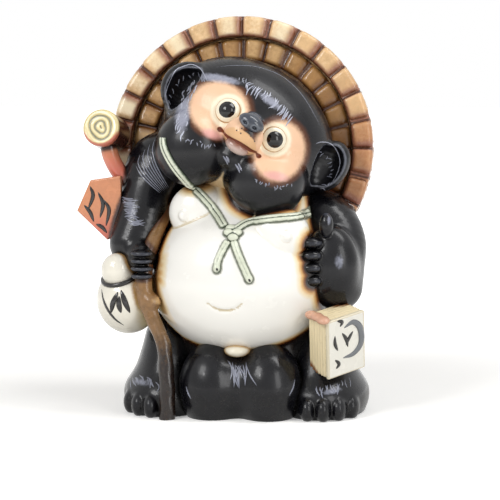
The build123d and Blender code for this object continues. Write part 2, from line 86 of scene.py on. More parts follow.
HANDS = {"right": ((-64.5, -41, 101), (10, 11, 10)), "left": ((57, -35, 97), (18, 15, 26))}
FINGERS = {"right": (-63, -51.5, 105), "left": (45.6, -48.2, 113)}
FINGER_RADII = {"right": (7, 5, 2.3), "left": (7, 6, 3.9)}
FINGER_PITCH = {"right": 4.85, "left": 8.05}
THUMB = ((55, -46, 124), (4.5, 5, 8))
POUCH_LOBES = [((sign * 18, -44, 19), (22, 26, 29)) for sign in (-1, 1)]
NUB = ((-1.5, -50, 43.5), (8.5, 10, 4.4))
HEAD_CENTRE = np.array((1.0, -11.0, 181.0))
HEAD_RADII = (58.0, 44.0, 45.0)
EARS = {"right": ((-47, -8, 3.5), (18.5, 10, 18.5)), "left": ((55.5, -8, 10), (13, 10, 17.5))}
JOWL_PLACES = ((-24.5, -31, -23.8), (26, -31, -16))
JOWL_RADII = ((23.8, 23, 25), (25.8, 23, 25))
HEAD_TILT = 32
HEAD_TURN = 3
EYE_X = 17.0
EYE_Z = 9.0
EYE_RADII = (8.2, 8.2, 4.2)
PUPIL_RADII = (5.3, 5.3, 3.9)
PUPIL_OUT = 1.6
SOCKET_RADII = (11.5, 11.5, 5.0)
SOCKET_OUT = 4.5
MUZZLE_SIZE = (0, -43.9, 3, (15, 17, 12))
CHIN_SIZE = (0, -41.5, -15, (7, 6, 6))
LIP_SIZE = (0, -51.55, -6, (8.2, 6.6, 4.4))
NOSE_SIZES = ((0, -56.65, 12, (8.6, 6, 5.2)), (0, -51, 15, (6, 7, 3.5)))
NOSTRIL_SIZES = [(sign * 3.6, -62, 10.5, (1.6, 2.2, 1.1)) for sign in (-1, 1)]
HAT_CENTRE = np.array((-6.2, 10.0, 169.7))
HAT_RADIUS = 87.3
BRIM_WIDTH = 14.0
BAND_WIDTH = 15.0
STRAWS = 28
STRAW_EDGE = 3.4
CORE_DEPTH = 2.8
CROWN_RISE = 24
CROWN_BACK = 30
CROWN_FRONT = 5.5
CROWN_WALL = 8
HOLLOW_RADIUS = 50
THATCH_STEP = 9.0
THATCH_RIBS = 3 * STRAWS
THATCH_FADE = (36, 48)
STAFF = (
    (-52, -12, 139), (-54, -25, 125), (-57.5, -37, 112), (-61.5, -45, 98), (-62, -48, 81), (-56, -51, 63),
    (-48.5, -55, 48), (-46.5, -58, 33), (-45.5, -60, 20), (-45, -61, 7), (-45, -62, -4),
)
STAFF_RADII = (4.6, 4.6, 4.8, 5.0, 5.6, 4.8, 4.8, 4.9, 5.0, 5.1, 5.2)
SIDES = {"right": -1, "left": 1}


# Camera and its picture

def turn(axis, degrees):
    """Rotation matrix about one axis."""
    return np.array(Matrix.Rotation(math.radians(degrees), 3, axis))


def length(rows):
    """Lengths of the rows of an array."""
    return np.linalg.norm(rows, axis=1)


def unit(rows):
    """The rows of an array, brought to length 1."""
    return rows / length(rows)[:, None]


BACK = np.array((
    math.sin(AZIMUTH) * math.cos(ELEVATION), -math.cos(AZIMUTH) * math.cos(ELEVATION), math.sin(ELEVATION),
))
RIGHT = np.array((math.cos(AZIMUTH), math.sin(AZIMUTH), 0.0))
UP = np.cross(BACK, RIGHT)
EYE_POINT = AIM + DISTANCE * BACK
FOCAL = PICTURE * DISTANCE / FIELD_WIDTH
RAY_START = 150
RAY_STEPS = 90
RAY_CAUTION = 0.8


def picture(p):
    """Where points lie in the picture, as columns across and down."""
    away = p - EYE_POINT
    depth = -away @ BACK
    across = PICTURE / 2 + FOCAL * (away @ RIGHT) / depth
    down = PICTURE / 2 - FOCAL * (away @ UP) / depth
    return across, down


def touch(spots, field):
    """Points of a form's surface that show at spots of the picture."""
    spots = np.asarray(spots, float)
    across = (spots[:, :1] - PICTURE / 2) / FOCAL
    down = (PICTURE / 2 - spots[:, 1:]) / FOCAL
    rays = unit(across * RIGHT + down * UP - BACK)
    p = EYE_POINT + rays * (DISTANCE - RAY_START)
    for _ in range(RAY_STEPS):
        p = p + rays * np.clip(field(p) * RAY_CAUTION, -1.0, 25.0)[:, None]
    return p


# Forms: a form is a function from points to their distance outside its surface

def smooth(low, high, value):
    """0 up to low and 1 from high on, with a soft rise between them."""
    t = np.clip((value - low) / (high - low), 0, 1)
    return t * t * (3 - 2 * t)


FOUR_WAYS = np.array(((1, -1, -1), (-1, -1, 1), (-1, 1, -1), (1, 1, 1)))


def change(field, p, reach):
    """Growth of a form's distance around points, 4 * reach long for a true distance."""
    total = np.zeros_like(p)
    for way in FOUR_WAYS:
        total += way * field(p + reach * way)[:, None]
    return total


def slope(field, p, reach=0.3):
    """Outward direction of a form at points."""
    total = change(field, p, reach)
    return total / np.maximum(length(total), 1e-9)[:, None]


def rounded(over, by):
    """Distance to a form with rounded edges, from the distances beyond its faces."""
    over = over + by
    return length(np.maximum(over, 0)) + np.minimum(over.max(axis=1), 0) - by


def meet(a, b, blend):
    """The lower of two distances, rounded where they are alike."""
    if not blend:
        return np.minimum(a, b)
    near = np.maximum(blend - np.abs(a - b), 0) / blend
    return np.minimum(a, b) - near * near * blend / 4


def melt(blend, *fields):
    """Forms joined with a soft fillet."""
    def field(p):
        total = fields[0](p)
        for other in fields[1:]:
            total = meet(total, other(p), blend)
        return total
    return field


def cut(blend, body, *tools):
    """A form with others taken out of it."""
    def field(p):
        total = body(p)
        for tool in tools:
            total = -meet(-total, tool(p), blend)
        return total
    return field


def egg(centre, radii, axes=None):
    """An ellipsoid; the columns of axes are its own directions."""
    centre = np.array(centre, float)
    radii = np.array(radii, float)

    def field(p):
        q = p - centre if axes is None else (p - centre) @ axes
        near = length(q / radii) + 1e-6
        steep = length(q / radii**2) + 1e-6 / radii.max()
        return near * (near - 1) / steep
    return field


def through(points, count):
    """A smooth line through the points, with count steps between one point and the next."""
    points = np.array(points, float)
    ends = np.vstack((2 * points[0] - points[1], points, 2 * points[-1] - points[-2]))
    line = []
    for a, b, c, d in zip(ends, ends[1:], ends[2:], ends[3:]):
        t = np.linspace(0, 1, count, endpoint=False)[:, None]
        line.append(0.5 * (2 * b + (c - a) * t + (2 * a - 5 * b + 4 * c - d) * t**2
                           + (3 * b - a - 3 * c + d) * t**3))
    return np.vstack(line + [points[-1:]])


def roll(points, radii, count=5):
    """A rolled length of clay along a smooth line, of changing thickness."""
    radii = np.broadcast_to(np.asarray(radii, float), (len(points),))
    line = through(np.column_stack((points, radii)), count)

    def field(p):
        best = np.full(len(p), 1e9)
        for a, b in zip(line, line[1:]):
            along = b[:3] - a[:3]
            share = np.clip((p - a[:3]) @ along / (along @ along), 0, 1)
            away = length(p - a[:3] - share[:, None] * along)
            best = np.minimum(best, away - a[3] - share * (b[3] - a[3]))
        return best
    return field


def stack(rows, centre=(0, 0)):
    """Oval sections laid over each other: height, half width, depth before and behind the middle."""
    line = through(rows, 12)

    def field(p):
        x = p[:, 0] - centre[0]
        y = p[:, 1] - centre[1]
        wide, fore, aft = (np.interp(p[:, 2], line[:, 0], line[:, n]) for n in (1, 2, 3))
        deep = np.where(y < 0, fore, aft)
        near = np.hypot(x / wide, y / deep) + 1e-6
        steep = np.hypot(x / wide**2, y / deep**2) + 1e-6 / 60
        side = near * (near - 1) / steep
        return np.maximum(side, p[:, 2] - rows[-1][0])
    return field


def block(low, high, round_by, place, axes):
    """A rounded box between two corners of its own frame."""
    low = np.array(low, float)
    high = np.array(high, float)

    def field(p):
        q = (p - place) @ axes
        return rounded(np.abs(q - (low + high) / 2) - (high - low) / 2, round_by)
    return field


def above_floor(field):
    """A form without what lies under the floor."""
    return lambda p: np.maximum(field(p), -p[:, 2])


# Meshing

BLOCK = 4
BLOCK_REACH = 1.6
NEAR_REACH = 5
CORNERS = np.indices((2, 2, 2)).reshape(3, -1).T
EDGES = [(a, b) for a in range(8) for b in range(a) if np.abs(CORNERS[a] - CORNERS[b]).sum() == 1]


def sampled(field, low, blocks, step):
    """A form's distances on a grid; blocks far from its surface keep one value."""
    corner = low + np.indices(blocks).reshape(3, -1).T * BLOCK * step
    far = field(corner + BLOCK * step / 2)
    grid = np.repeat(far, BLOCK**3).reshape(-1, BLOCK**3)
    near = np.abs(far) < BLOCK_REACH * BLOCK * step
    inner = np.indices((BLOCK,) * 3).reshape(3, -1).T * step
    grid[near] = field((corner[near][:, None] + inner).reshape(-1, 3)).reshape(-1, BLOCK**3)
    grid = grid.reshape(*blocks, BLOCK, BLOCK, BLOCK).transpose(0, 3, 1, 4, 2, 5)
    return grid.reshape([count * BLOCK for count in blocks])


def net(values, low, step):
    """Points and quads of the surface where sampled distances change sign."""
    inside = values < 0
    spans = [tuple(slice(c, c + n - 1) for c, n in zip(corner, values.shape)) for corner in CORNERS]
    count = sum(inside[span].astype(np.int8) for span in spans)
    cells = np.argwhere((count > 0) & (count < 8))
    held = [values[tuple((cells + corner).T)] for corner in CORNERS]
    total = np.zeros((len(cells), 3))
    hits = np.zeros(len(cells))
    for a, b in EDGES:
        cross = (held[a] < 0) != (held[b] < 0)
        share = np.where(cross, held[a] / np.where(cross, held[a] - held[b], 1), 0)
        total += cross[:, None] * (CORNERS[a] + share[:, None] * (CORNERS[b] - CORNERS[a]))
        hits += cross
    number = np.full(count.shape, -1)
    number[tuple(cells.T)] = np.arange(len(cells))
    quads = []
    for axis in range(3):
        u, v = np.eye(3, dtype=int)[[(axis + 1) % 3, (axis + 2) % 3]]
        at = np.argwhere(np.diff(inside, axis=axis))
        fits = ((at - u - v >= 0) & (at < number.shape)).all(axis=1)
        at = at[fits]
        ring = np.stack([number[tuple(c.T)] for c in (at, at - u, at - u - v, at - v)], axis=1)
        outward = inside[tuple(at.T)]
        quads.append(np.where(outward[:, None], ring, ring[:, ::-1]))
    return low + step * (cells + total / hits[:, None]), np.vstack(quads)


def settled(field, p, step):
    """Points moved onto a form's surface."""
    for _ in range(2):
        reach = 0.25 * step
        out = change(field, p, reach) / (4 * reach)
        size = np.maximum((out**2).sum(axis=1), 0.2)
        p = p - np.clip(field(p) / size, -0.6 * step, 0.6 * step)[:, None] * out
    return p


def bend(field, p, reach=1.4):
    """How sharply a surface bends: above 0 on ridges and below 0 in hollows."""
    total = -6 * field(p)
    for axis in np.eye(3):
        total += field(p + reach * axis) + field(p - reach * axis)
    return total / reach**2


# Pieces

def placed(name, data):
    """A new object of the scene."""
    made = bpy.data.objects.new(name, data)
    bpy.context.collection.objects.link(made)
    return made


def piece(name, places, faces, material, nodes=(), masks=None):
    """A mesh of the object that rides on the body and stands for some of the solids."""
    mesh = bpy.data.meshes.new(name)
    mesh.from_pydata((places * MM).tolist(), [], [list(face) for face in faces])
    mesh.shade_smooth()
    for mask, values in (masks or {}).items():
        held = mesh.attributes.new(mask, "FLOAT", "POINT")
        held.data.foreach_set("value", np.asarray(values, np.float32))
    mesh.materials.append(material)
    made = placed(name, mesh)
    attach(made, "root")
    if nodes:
        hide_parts(*nodes)
    return made


def skin(name, field, nodes, slot, material, step, others=(), masks=None, relief=None, margin=6.0):
    """A form as a mesh, with masks for its ridges, its hollows and what stands close to it."""
    step = step * 1.0
    boxes = np.array([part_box(node) for node in nodes]) / MM
    low = boxes[:, 0].min(axis=0) - margin
    high = boxes[:, 1].max(axis=0) + margin
    blocks = [int(n) for n in np.ceil((high - low) / (BLOCK * step))]
    p, quads = net(sampled(field, low, blocks, step), low, step)
    p = settled(field, p, step)
    curve = bend(field, p)
    held = {"ridge": smooth(0.08, 0.6, curve), "hollow": smooth(0.03, 0.5, -curve)}
    if others:
        gap = np.minimum.reduce([FORMS[other](p) for other in others])
        held["near"] = 1 - smooth(0, NEAR_REACH, gap)
    if masks:
        held.update(masks(p))
    if relief:
        p = p + relief(p)[:, None] * slope(field, p)
        p[:, 2] = np.maximum(p[:, 2], 0)
    return piece(name, p, quads, material, nodes, held)


def plain_skin(form, node, *finish, **masks):
    """The skin of a form that stands for one solid."""
    return skin(f"{form}_skin", FORMS[form], (node,), *finish, **masks)


def unbroken(p):
    """A line of points without the steps where it jumps from one form to another behind it."""
    steps = length(np.diff(p, axis=0))
    return np.split(p, np.flatnonzero(steps > 3 * np.median(steps) + 0.5) + 1)


FACETS = 6


def brush(name, lines, form, width, material, lift=0.35):
    """Raised strokes of glaze or clay on a form, along lines of picture spots."""
    field = FORMS[form]
    places = []
    faces = []
    touched = [touch(through(line, 6), field) for line in lines]
    for p in [stroke for line in touched for stroke in unbroken(line)]:
        if len(p) < 4 or np.abs(field(p)).max() > 0.5:
            continue
        out = slope(field, p)
        across = unit(np.cross(unit(np.gradient(p, axis=0)), out))
        share = np.linspace(0, 1, len(p))
        size = width * np.maximum(np.sin(math.pi * share), 0.02) ** 0.6
        start = sum(len(rows) for rows in places)
        for spot in range(FACETS):
            angle = 2 * math.pi * spot / FACETS
            side = math.cos(angle) * across + (lift * (math.sin(angle) + 0.5)) * out
            places.append(p + size[:, None] * side)
        for spot in range(FACETS):
            a = start + spot * len(p)
            b = start + (spot + 1) % FACETS * len(p)
            faces += [(a + n, a + n + 1, b + n + 1, b + n) for n in range(len(p) - 1)]
        faces.append([start + spot * len(p) for spot in range(FACETS)])
        faces.append([start + spot * len(p) + len(p) - 1 for spot in reversed(range(FACETS))])
    return piece(name, np.vstack(places), faces, material)


def fringe(line, count, size, heading, spread, seed):
    """Short strokes that start along a line of picture spots and point along a heading."""
    random = np.random.default_rng(seed)
    path = through(line, 12)
    lines = []
    for spot in np.linspace(0, len(path) - 1, count):
        start = path[int(spot)] + random.normal(0, 0.8, 2)
        angle = math.radians(heading + random.normal(0, spread))
        reach = size * random.uniform(0.65, 1.25)
        tip = start + reach * np.array((math.cos(angle), math.sin(angle)))
        sag = random.normal(0, 0.12) * reach
        middle = (start + tip) / 2 + sag * np.array((-math.sin(angle), math.cos(angle)))
        lines.append((start, middle, tip))
    return lines


# Glazes

def tint(code):
    """Linear colour of a hexadecimal code."""
    parts = [int(code[n:n + 2], 16) / 255 for n in (0, 2, 4)]
    return [c / 12.92 if c <= 0.04045 else ((c + 0.055) / 1.055) ** 2.4 for c in parts] + [1.0]


def feed(tree, made, inputs):
    """Inputs of a shader node; an input may be another node's output."""
    for key, value in inputs.items():
        if isinstance(value, bpy.types.NodeSocket):
            tree.links.new(value, made.inputs[key])
        else:
            made.inputs[key].default_value = value


def node(tree, kind, inputs=None, **settings):
    """Outputs of a new shader node with its inputs and settings."""
    made = tree.nodes.new(kind)
    for key, value in settings.items():
        setattr(made, key, value)
    feed(tree, made, inputs or {})
    return made.outputs


def speckle(tree, place, size):
    """Noise with features of a size in millimetres."""
    inputs = {"Vector": place, "Scale": 1 / (size * MM), "Detail": 3.0, "Roughness": 0.6}
    return node(tree, "ShaderNodeTexNoise", inputs)[0]


def sum_of(tree, a, b, scale):
    """a + (b - 0.5) * scale"""
    part = node(tree, "ShaderNodeMath", {0: b, 1: 0.5}, operation="SUBTRACT")[0]
    return node(tree, "ShaderNodeMath", {0: part, 1: scale, 2: a}, operation="MULTIPLY_ADD")[0]


def glaze(name, base, layers=(), ramp=None, rough=(0.12, 0.3), vary=0.25, grain=0.05, coat=0.35, shine=0.4):
    """A fired glaze; a ramp is a mask and its colours, a layer a mask, colour, breakup, low and high."""
    made = bpy.data.materials.new(name)
    made.use_nodes = True
    tree = made.node_tree
    shader = tree.nodes["Principled BSDF"]
    place = node(tree, "ShaderNodeTexCoord")["Object"]
    broad = speckle(tree, place, 14)
    fine = speckle(tree, place, 2.2)
    if ramp:
        mask = node(tree, "ShaderNodeAttribute", attribute_name=ramp[0])["Fac"]
        mask = sum_of(tree, sum_of(tree, mask, broad, 0.10), fine, 0.07)
        bands = tree.nodes.new("ShaderNodeValToRGB")
        feed(tree, bands, {"Fac": mask})
        stops = bands.color_ramp.elements
        while len(stops) < len(ramp[1]):
            stops.new(0.5)
        for stop, (spot, code) in zip(stops, ramp[1]):
            stop.position = spot
            stop.color = tint(code)
        colour = bands.outputs["Color"]
    else:
        dark = [c * (1 - vary) for c in tint(base)[:3]] + [1.0]
        pale = [min(c * (1 + vary), 1) for c in tint(base)[:3]] + [1.0]
        factor = sum_of(tree, broad, fine, 0.6)
        colour = node(tree, "ShaderNodeMix", {0: factor, 6: dark, 7: pale}, data_type="RGBA")[2]
    for attribute, code, breakup, low, high in layers:
        mask = node(tree, "ShaderNodeAttribute", attribute_name=attribute)["Fac"]
        mask = sum_of(tree, mask, fine, breakup)
        limits = {"Value": mask, "From Min": low, "From Max": high}
        mask = node(tree, "ShaderNodeMapRange", limits, interpolation_type="SMOOTHSTEP")[0]
        colour = node(tree, "ShaderNodeMix", {0: mask, 6: colour, 7: tint(code)}, data_type="RGBA")[2]
    limits = {"Value": broad, "From Min": 0.3, "From Max": 0.7, "To Min": rough[0], "To Max": rough[1]}
    relief = {"Height": fine, "Strength": grain, "Distance": 0.0008}
    feed(tree, shader, {
        "Base Color": colour, "Roughness": node(tree, "ShaderNodeMapRange", limits)[0],
        "Normal": node(tree, "ShaderNodeBump", relief)[0], "Specular IOR Level": shine,
        "Coat Weight": coat, "Coat Roughness": 0.1,
    })
    return made


BLACK = "0d0d11"
# The pale lilac layer of the black glaze is a painted sheen, where highlights fall on the fur of the arms and
# feet.
BLACK_GLAZE = glaze(
    "black_glaze", BLACK,
    (("ridge", "4a4d58", 0.5, 0.6, 1.4), ("hollow", "060507", 0.3, 0.2, 0.9),
     ("near", "050404", 0.4, 0.35, 1.0), ("painted_sheen", "8b8e9c", 1.0, 0.35, 1.3)),
    vary=0.5, rough=(0.2, 0.36), grain=0.12, coat=0.15, shine=0.25,
)
BODY_GLAZE = glaze(
    "body_glaze", None,
    (("hollow", "c9b896", 0.3, 0.15, 1.2), ("shade", "d8b98a", 0.35, 0.2, 1.3),
     ("pool", "6d7360", 0.4, 0.3, 1.1)),
    ramp=("tone", (
        (0.0, "0d0b0c"), (0.12, "2a150b"), (0.26, "7d4c22"),
        (0.42, "d6a76a"), (0.6, "efdcb4"), (0.88, "f4f2ec"),
    )),
    rough=(0.14, 0.3), grain=0.05,
)
HEAD_GLAZE = glaze(
    "head_glaze", BLACK,
    (
        ("ridge", "6a6d78", 0.5, 0.55, 1.3), ("hollow", "060507", 0.3, 0.25, 1.0),
        # The pale lilac fur layer also carries a painted highlight across the forehead.
        ("fringe", "9799a8", 0.7, 0.25, 1.1), ("patch_edge", "5a3522", 0.3, 0.2, 0.95),
        ("patch", "ecc2a0", 0.25, 0.2, 0.8), ("veil", "ddd8de", 0.4, 0.25, 1.2),
        ("blush", "e3a9a2", 0.3, 0.3, 1.2), ("halo", "fbf0d6", 0.2, 0.1, 0.9),
        ("snout", "e0b486", 0.3, 0.3, 0.9), ("mouth", "6b2f18", 0.3, 0.35, 0.8),
        ("throat", "dcbf94", 0.4, 0.25, 0.9),
    ),
    vary=0.5, rough=(0.22, 0.4), grain=0.1, coat=0.15, shine=0.25,
)
EYE_GLAZE = glaze(
    "eye_glaze", "f3ead2",
    (("rim", "b98d5c", 0.3, 0.3, 1.0), ("iris", "0b0a0c", 0.04, 0.4, 0.6)),
    vary=0.06, rough=(0.06, 0.12), grain=0.0, coat=0.3, shine=0.3,
)
NOSE_GLAZE = glaze("nose_glaze", "3a3f49", (("ridge", "6d737e", 0.4, 0.6, 1.4),), vary=0.4, rough=(0.1, 0.25))
LIP_GLAZE = glaze(
    "lip_glaze", "c4aca2",
    (("hollow", "6b3b2c", 0.3, 0.2, 0.8), ("near", "8a5540", 0.4, 0.4, 1.2)),
)
# In the straw glazes the brown layers over one side of the hat and of each bundle are painted shade, and the
# pale layer is painted light in the bundles' middles.
STRAW_FINISH = {"vary": 0.34, "rough": (0.2, 0.42), "grain": 0.28, "coat": 0.25}
STRAW_GLAZE = glaze(
    "straw_glaze", "ddb685",
    (
        ("tilt", "a8683e", 0.5, 0.2, 1.2), ("pale", "f1dfbc", 0.6, 0.25, 0.95),
        ("rim", "8a5444", 0.5, 0.25, 1.1), ("hollow", "6a3a1a", 0.4, 0.15, 0.75),
        ("gap", "4a2510", 0.3, 0.3, 0.85), ("near", "2a150b", 0.4, 0.35, 1.0),
    ),
    **STRAW_FINISH,
)
BAND_GLAZE = glaze(
    "band_glaze", "aa7d48",
    (
        ("tilt", "7a4a28", 0.5, 0.2, 1.2), ("pale", "dcb47e", 0.6, 0.3, 1.1),
        ("rim", "6f4522", 0.6, 0.2, 1.25), ("hollow", "5a2f14", 0.4, 0.1, 0.7),
        ("gap", "3a1c0c", 0.3, 0.3, 0.85), ("near", "1d0e08", 0.4, 0.3, 1.0),
    ),
    **STRAW_FINISH,
)
CORD_GLAZE = glaze(
    "cord_glaze", "d6dac6",
    (("hollow", "4c5746", 0.3, 0.1, 0.7), ("near", "56614e", 0.3, 0.68, 0.95)),
    vary=0.1, rough=(0.15, 0.3),
)
STAFF_GLAZE = glaze(
    "staff_glaze", "84623c",
    (("ridge", "c6a06c", 0.7, 0.2, 0.9), ("hollow", "3a2213", 0.6, 0.1, 0.6),
     ("foot", "1c120e", 0.9, 0.15, 1.0), ("near", "4a2a16", 0.4, 0.35, 1.0)),
    vary=0.55, rough=(0.2, 0.4), grain=0.25, coat=0.2,
)
WHITE_GLAZE = glaze(
    "white_glaze", "ece7d9",
    (("hollow", "6d5f4a", 0.3, 0.15, 0.8), ("near", "a8814e", 0.4, 0.2, 1.0),
     ("shade", "d3c08a", 0.3, 0.2, 1.2)),
    vary=0.05, rough=(0.1, 0.22),
)
COVER_GLAZE = glaze(
    "cover_glaze", "ebe8de",
    (("hollow", "9c8c6c", 0.4, 0.05, 0.6), ("near", "7c5d3c", 0.4, 0.2, 1.0),
     ("ridge", "d9cfb6", 0.4, 0.2, 1.0)),
    vary=0.05, rough=(0.18, 0.34),
)
PAPER_GLAZE = glaze(
    "paper_glaze", "e3d3ad",
    (("hollow", "9c7c4c", 0.4, 0.05, 0.6), ("near", "7c4d28", 0.4, 0.2, 1.0)),
    vary=0.08, rough=(0.2, 0.4), coat=0.4,
)
TIE_GLAZE = glaze(
    "tie_glaze", "c99a80",
    (("hollow", "5a2c1c", 0.3, 0.1, 0.7), ("near", "6b3a24", 0.4, 0.4, 1.2)),
)
RED_GLAZE = glaze(
    "red_glaze", "cf8a63",
    (("shade", "d06f5c", 0.4, 0.2, 1.1), ("near", "3a1d16", 0.4, 0.3, 1.0),
     ("hollow", "4a2418", 0.3, 0.2, 0.9)),
    vary=0.2, rough=(0.16, 0.34),
)
WOOD_GLAZE = glaze(
    "wood_glaze", "dccb96",
    (("ring", "6d6a4c", 0.35, 0.3, 0.9), ("bark", "4a2a22", 0.3, 0.3, 0.8),
     ("blush", "c4705a", 0.4, 0.3, 0.9), ("near", "2a1510", 0.4, 0.4, 1.0)),
    vary=0.12, rough=(0.15, 0.3),
)
# Pale glazes for fur strokes; on the sleeve, the forehead and the toes their strokes are painted highlights.
FUR_AND_GLINT_GLAZE = glaze("fur_and_glint_glaze", "7e818f", vary=0.35, rough=(0.15, 0.3))
PALE_FUR_AND_GLINT_GLAZE = glaze("pale_fur_and_glint_glaze", "a6a9b8", vary=0.25, rough=(0.15, 0.3))
INK_GLAZE = glaze("ink_glaze", "1d1a1a", vary=0.3, rough=(0.12, 0.25))
GREY_GLAZE = glaze("grey_glaze", "6f7276", vary=0.15, rough=(0.15, 0.3))


# Head

HEAD_AXES = turn("Y", HEAD_TILT) @ turn("Z", HEAD_TURN)


def on_head(x, y, z):
    """A place given in the head's own frame."""
    return HEAD_CENTRE + HEAD_AXES @ (x, y, z)


def skull_front(x, z):
    """The y of the skull's front in the head's own frame."""
    return -HEAD_RADII[1] * math.sqrt(1 - (x / HEAD_RADII[0]) ** 2 - (z / HEAD_RADII[2]) ** 2)


def head_egg(x, y, z, radii):
    """An ellipsoid in the head's own frame."""
    return egg(on_head(x, y, z), radii, HEAD_AXES)


def eye_frame(sign):
    """Middle of an eye, and its own axes with the third looking out."""
    x, z = sign * EYE_X, EYE_Z
    y = skull_front(x, z)
    out = HEAD_AXES @ (np.array((x, y, z)) / np.array(HEAD_RADII) ** 2)
    out /= np.linalg.norm(out)
    across = np.cross((0, 0, 1.0), out)
    across /= np.linalg.norm(across)
    return on_head(x, y, z), np.column_stack((across, np.cross(out, across), out))


SKULL = head_egg(0, 0, 0, HEAD_RADII)
JOWLS = [head_egg(*place, radii) for place, radii in zip(JOWL_PLACES, JOWL_RADII)]
EAR_OUTSIDES = [head_egg(*place, radii) for place, radii in EARS.values()]
EAR_HOLLOWS = [
    head_egg(x - 1.5 * sign, y - 9, z, (rx - 2.2, ry + 1, rz - 2.4))
    for sign, ((x, y, z), (rx, ry, rz)) in zip(SIDES.values(), EARS.values())
]
MUZZLE = head_egg(*MUZZLE_SIZE)
CHIN = head_egg(*CHIN_SIZE)
EYES = [eye_frame(sign) for sign in SIDES.values()]
SOCKETS = [egg(middle + SOCKET_OUT * axes[:, 2], SOCKET_RADII, axes) for middle, axes in EYES]
PLAIN_HEAD = melt(4, melt(1.5, *[melt(6, SKULL, jowl) for jowl in JOWLS]), MUZZLE, CHIN)
MOUTH = ((219.5, 129), (226, 136), (235, 141.5), (243, 146), (251, 151), (259, 156))
MOUTH_POINTS = touch(MOUTH, PLAIN_HEAD)
MOUTH_GROOVE = roll(MOUTH_POINTS, (0.7, 1.1, 1.3, 1.3, 1.1, 0.7))
MOUTH_LINE = roll(MOUTH_POINTS, 0.8)
HEAD = cut(1.0, melt(3, cut(1.2, cut(3.5, PLAIN_HEAD, *SOCKETS), MOUTH_GROOVE), *EAR_OUTSIDES), *EAR_HOLLOWS)


def oval(across, down, middle, radii, lean):
    """1 at the middle of an oval of the picture, 0 on its edge and below 0 outside."""
    x = across - middle[0]
    y = down - middle[1]
    c, s = math.cos(math.radians(lean)), math.sin(math.radians(lean))
    return 1 - np.hypot((c * x + s * y) / radii[0], (c * y - s * x) / radii[1])


def in_ovals(across, down, full, *ovals):
    """0 outside ovals of the picture, rising to 1 towards their middles."""
    return np.maximum.reduce([smooth(0, full, oval(across, down, *each)) for each in ovals])


def painted_sheen(*ovals):
    """Masks of a painted sheen on the fur, in ovals of the picture on the front."""
    return lambda p: {"painted_sheen": in_ovals(*picture(p), 0.9, *ovals) * smooth(0, -12, p[:, 1])}


def face_masks(p):
    """Masks of the glazes on the face, most of them in ovals of the picture."""
    across, down = picture(p)
    q = (p - HEAD_CENTRE) @ HEAD_AXES
    ahead = smooth(-12, -24, q[:, 1])
    face = np.maximum(
        oval(across, down, (219, 109), (35, 31), 20), oval(across, down, (279, 151), (30, 35), 14),
    )
    patch = smooth(-0.12, 0.4, face)
    edge = smooth(-0.22, 0.15, face)
    throat = smooth(0.5, 3.5, FORMS["jowls"](p)) * smooth(-23, -27, q[:, 2])
    blush = in_ovals(across, down, 0.8, ((212, 134), (20, 9), 20), ((276, 176), (24, 9), 10))
    pale = in_ovals(across, down, 0.8, ((183, 113), (13, 34), 8), ((219, 79), (36, 8), 10))
    # A painted highlight: the glint band across the forehead, in the pale fur colour.
    forehead_glint = in_ovals(across, down, 0.9, ((270, 101), (24, 8), 36))
    eyes = np.minimum.reduce([length(p - middle) for middle, _ in EYES])
    snout = smooth(-0.05, 0.25, oval(across, down, (240, 141), (21, 12), 36))
    masks = {
        "patch": patch, "patch_edge": edge * (1 - pale), "blush": blush, "fringe": np.maximum(pale, forehead_glint),
        "veil": pale * patch, "halo": (1 - smooth(9, 13.5, eyes)) * patch, "snout": snout,
        "mouth": 1 - smooth(0.2, 1.6, MOUTH_LINE(p)), "throat": throat,
    }
    return {name: mask * ahead for name, mask in masks.items()}


def comb(p):
    """Fine combed lines over the fur, which run out from the nose."""
    q = (p - HEAD_CENTRE) @ HEAD_AXES
    angle = np.arctan2(q[:, 2] - 6, q[:, 0])
    far = smooth(26, 40, np.hypot(q[:, 0], q[:, 2] - 6))
    masks = face_masks(p)
    clear = (1 - masks["patch_edge"]) * (1 - masks["snout"]) * smooth(1, 6, FORMS["jowls"](p))
    return 0.06 * far * clear * np.cos(110 * angle + 3 * np.sin(q[:, 1] / 5))


# Body

def front(field, x, z):
    """The y of a form's front at a place."""
    p = np.array([(x, -140.0, z)])
    for _ in range(60):
        p[0, 1] += RAY_CAUTION * field(p)[0]
    return p[0, 1]


BODY = stack(BODY_ROWS)
BELLY = egg(BELLY_MIDDLE, BELLY_RADII)
TRUNK = melt(2, BODY, BELLY)
BREAST_FORMS = [egg((x, front(TRUNK, x, z) + BREAST_DEPTH, z), BREAST_RADII) for x, z in BREASTS]
CHEST = melt(1.2, TRUNK, *BREAST_FORMS)
NIPPLE_FORMS = [egg((x, front(CHEST, x, z) + NIPPLE_DEPTH, z), NIPPLE_RADII) for x, z in NIPPLES]


def arm(side):
    """An arm with its hand and fingers."""
    start = np.array(FINGERS[side], float)
    fingers = [egg(start - (0, 0, n * FINGER_PITCH[side]), FINGER_RADII[side]) for n in range(4)]
    if side == "left":
        fingers.append(egg(*THUMB))
    limb = melt(5, roll(ARMS[side], ARM_RADII[side]), egg(*HANDS[side]))
    return melt(1.2, limb, melt(0.4, *fingers))


def leg(side):
    """A leg with its toes."""
    sign = SIDES[side]
    rows = [(z, wide, deep, deep) for z, wide, deep in LEG_ROWS]
    limb = stack(rows, (sign * LEG_SPREAD, LEG_Y))
    toes = []
    for angle in TOE_ANGLES[side]:
        x = LEG_SPREAD + TOE_REACH[0] * math.sin(math.radians(angle))
        y = TOE_MIDDLE_Y - TOE_REACH[1] * math.cos(math.radians(angle))
        toes.append(egg((sign * x, y, TOE_RISE), TOE_RADII))
    return above_floor(melt(1.5, limb, *toes))


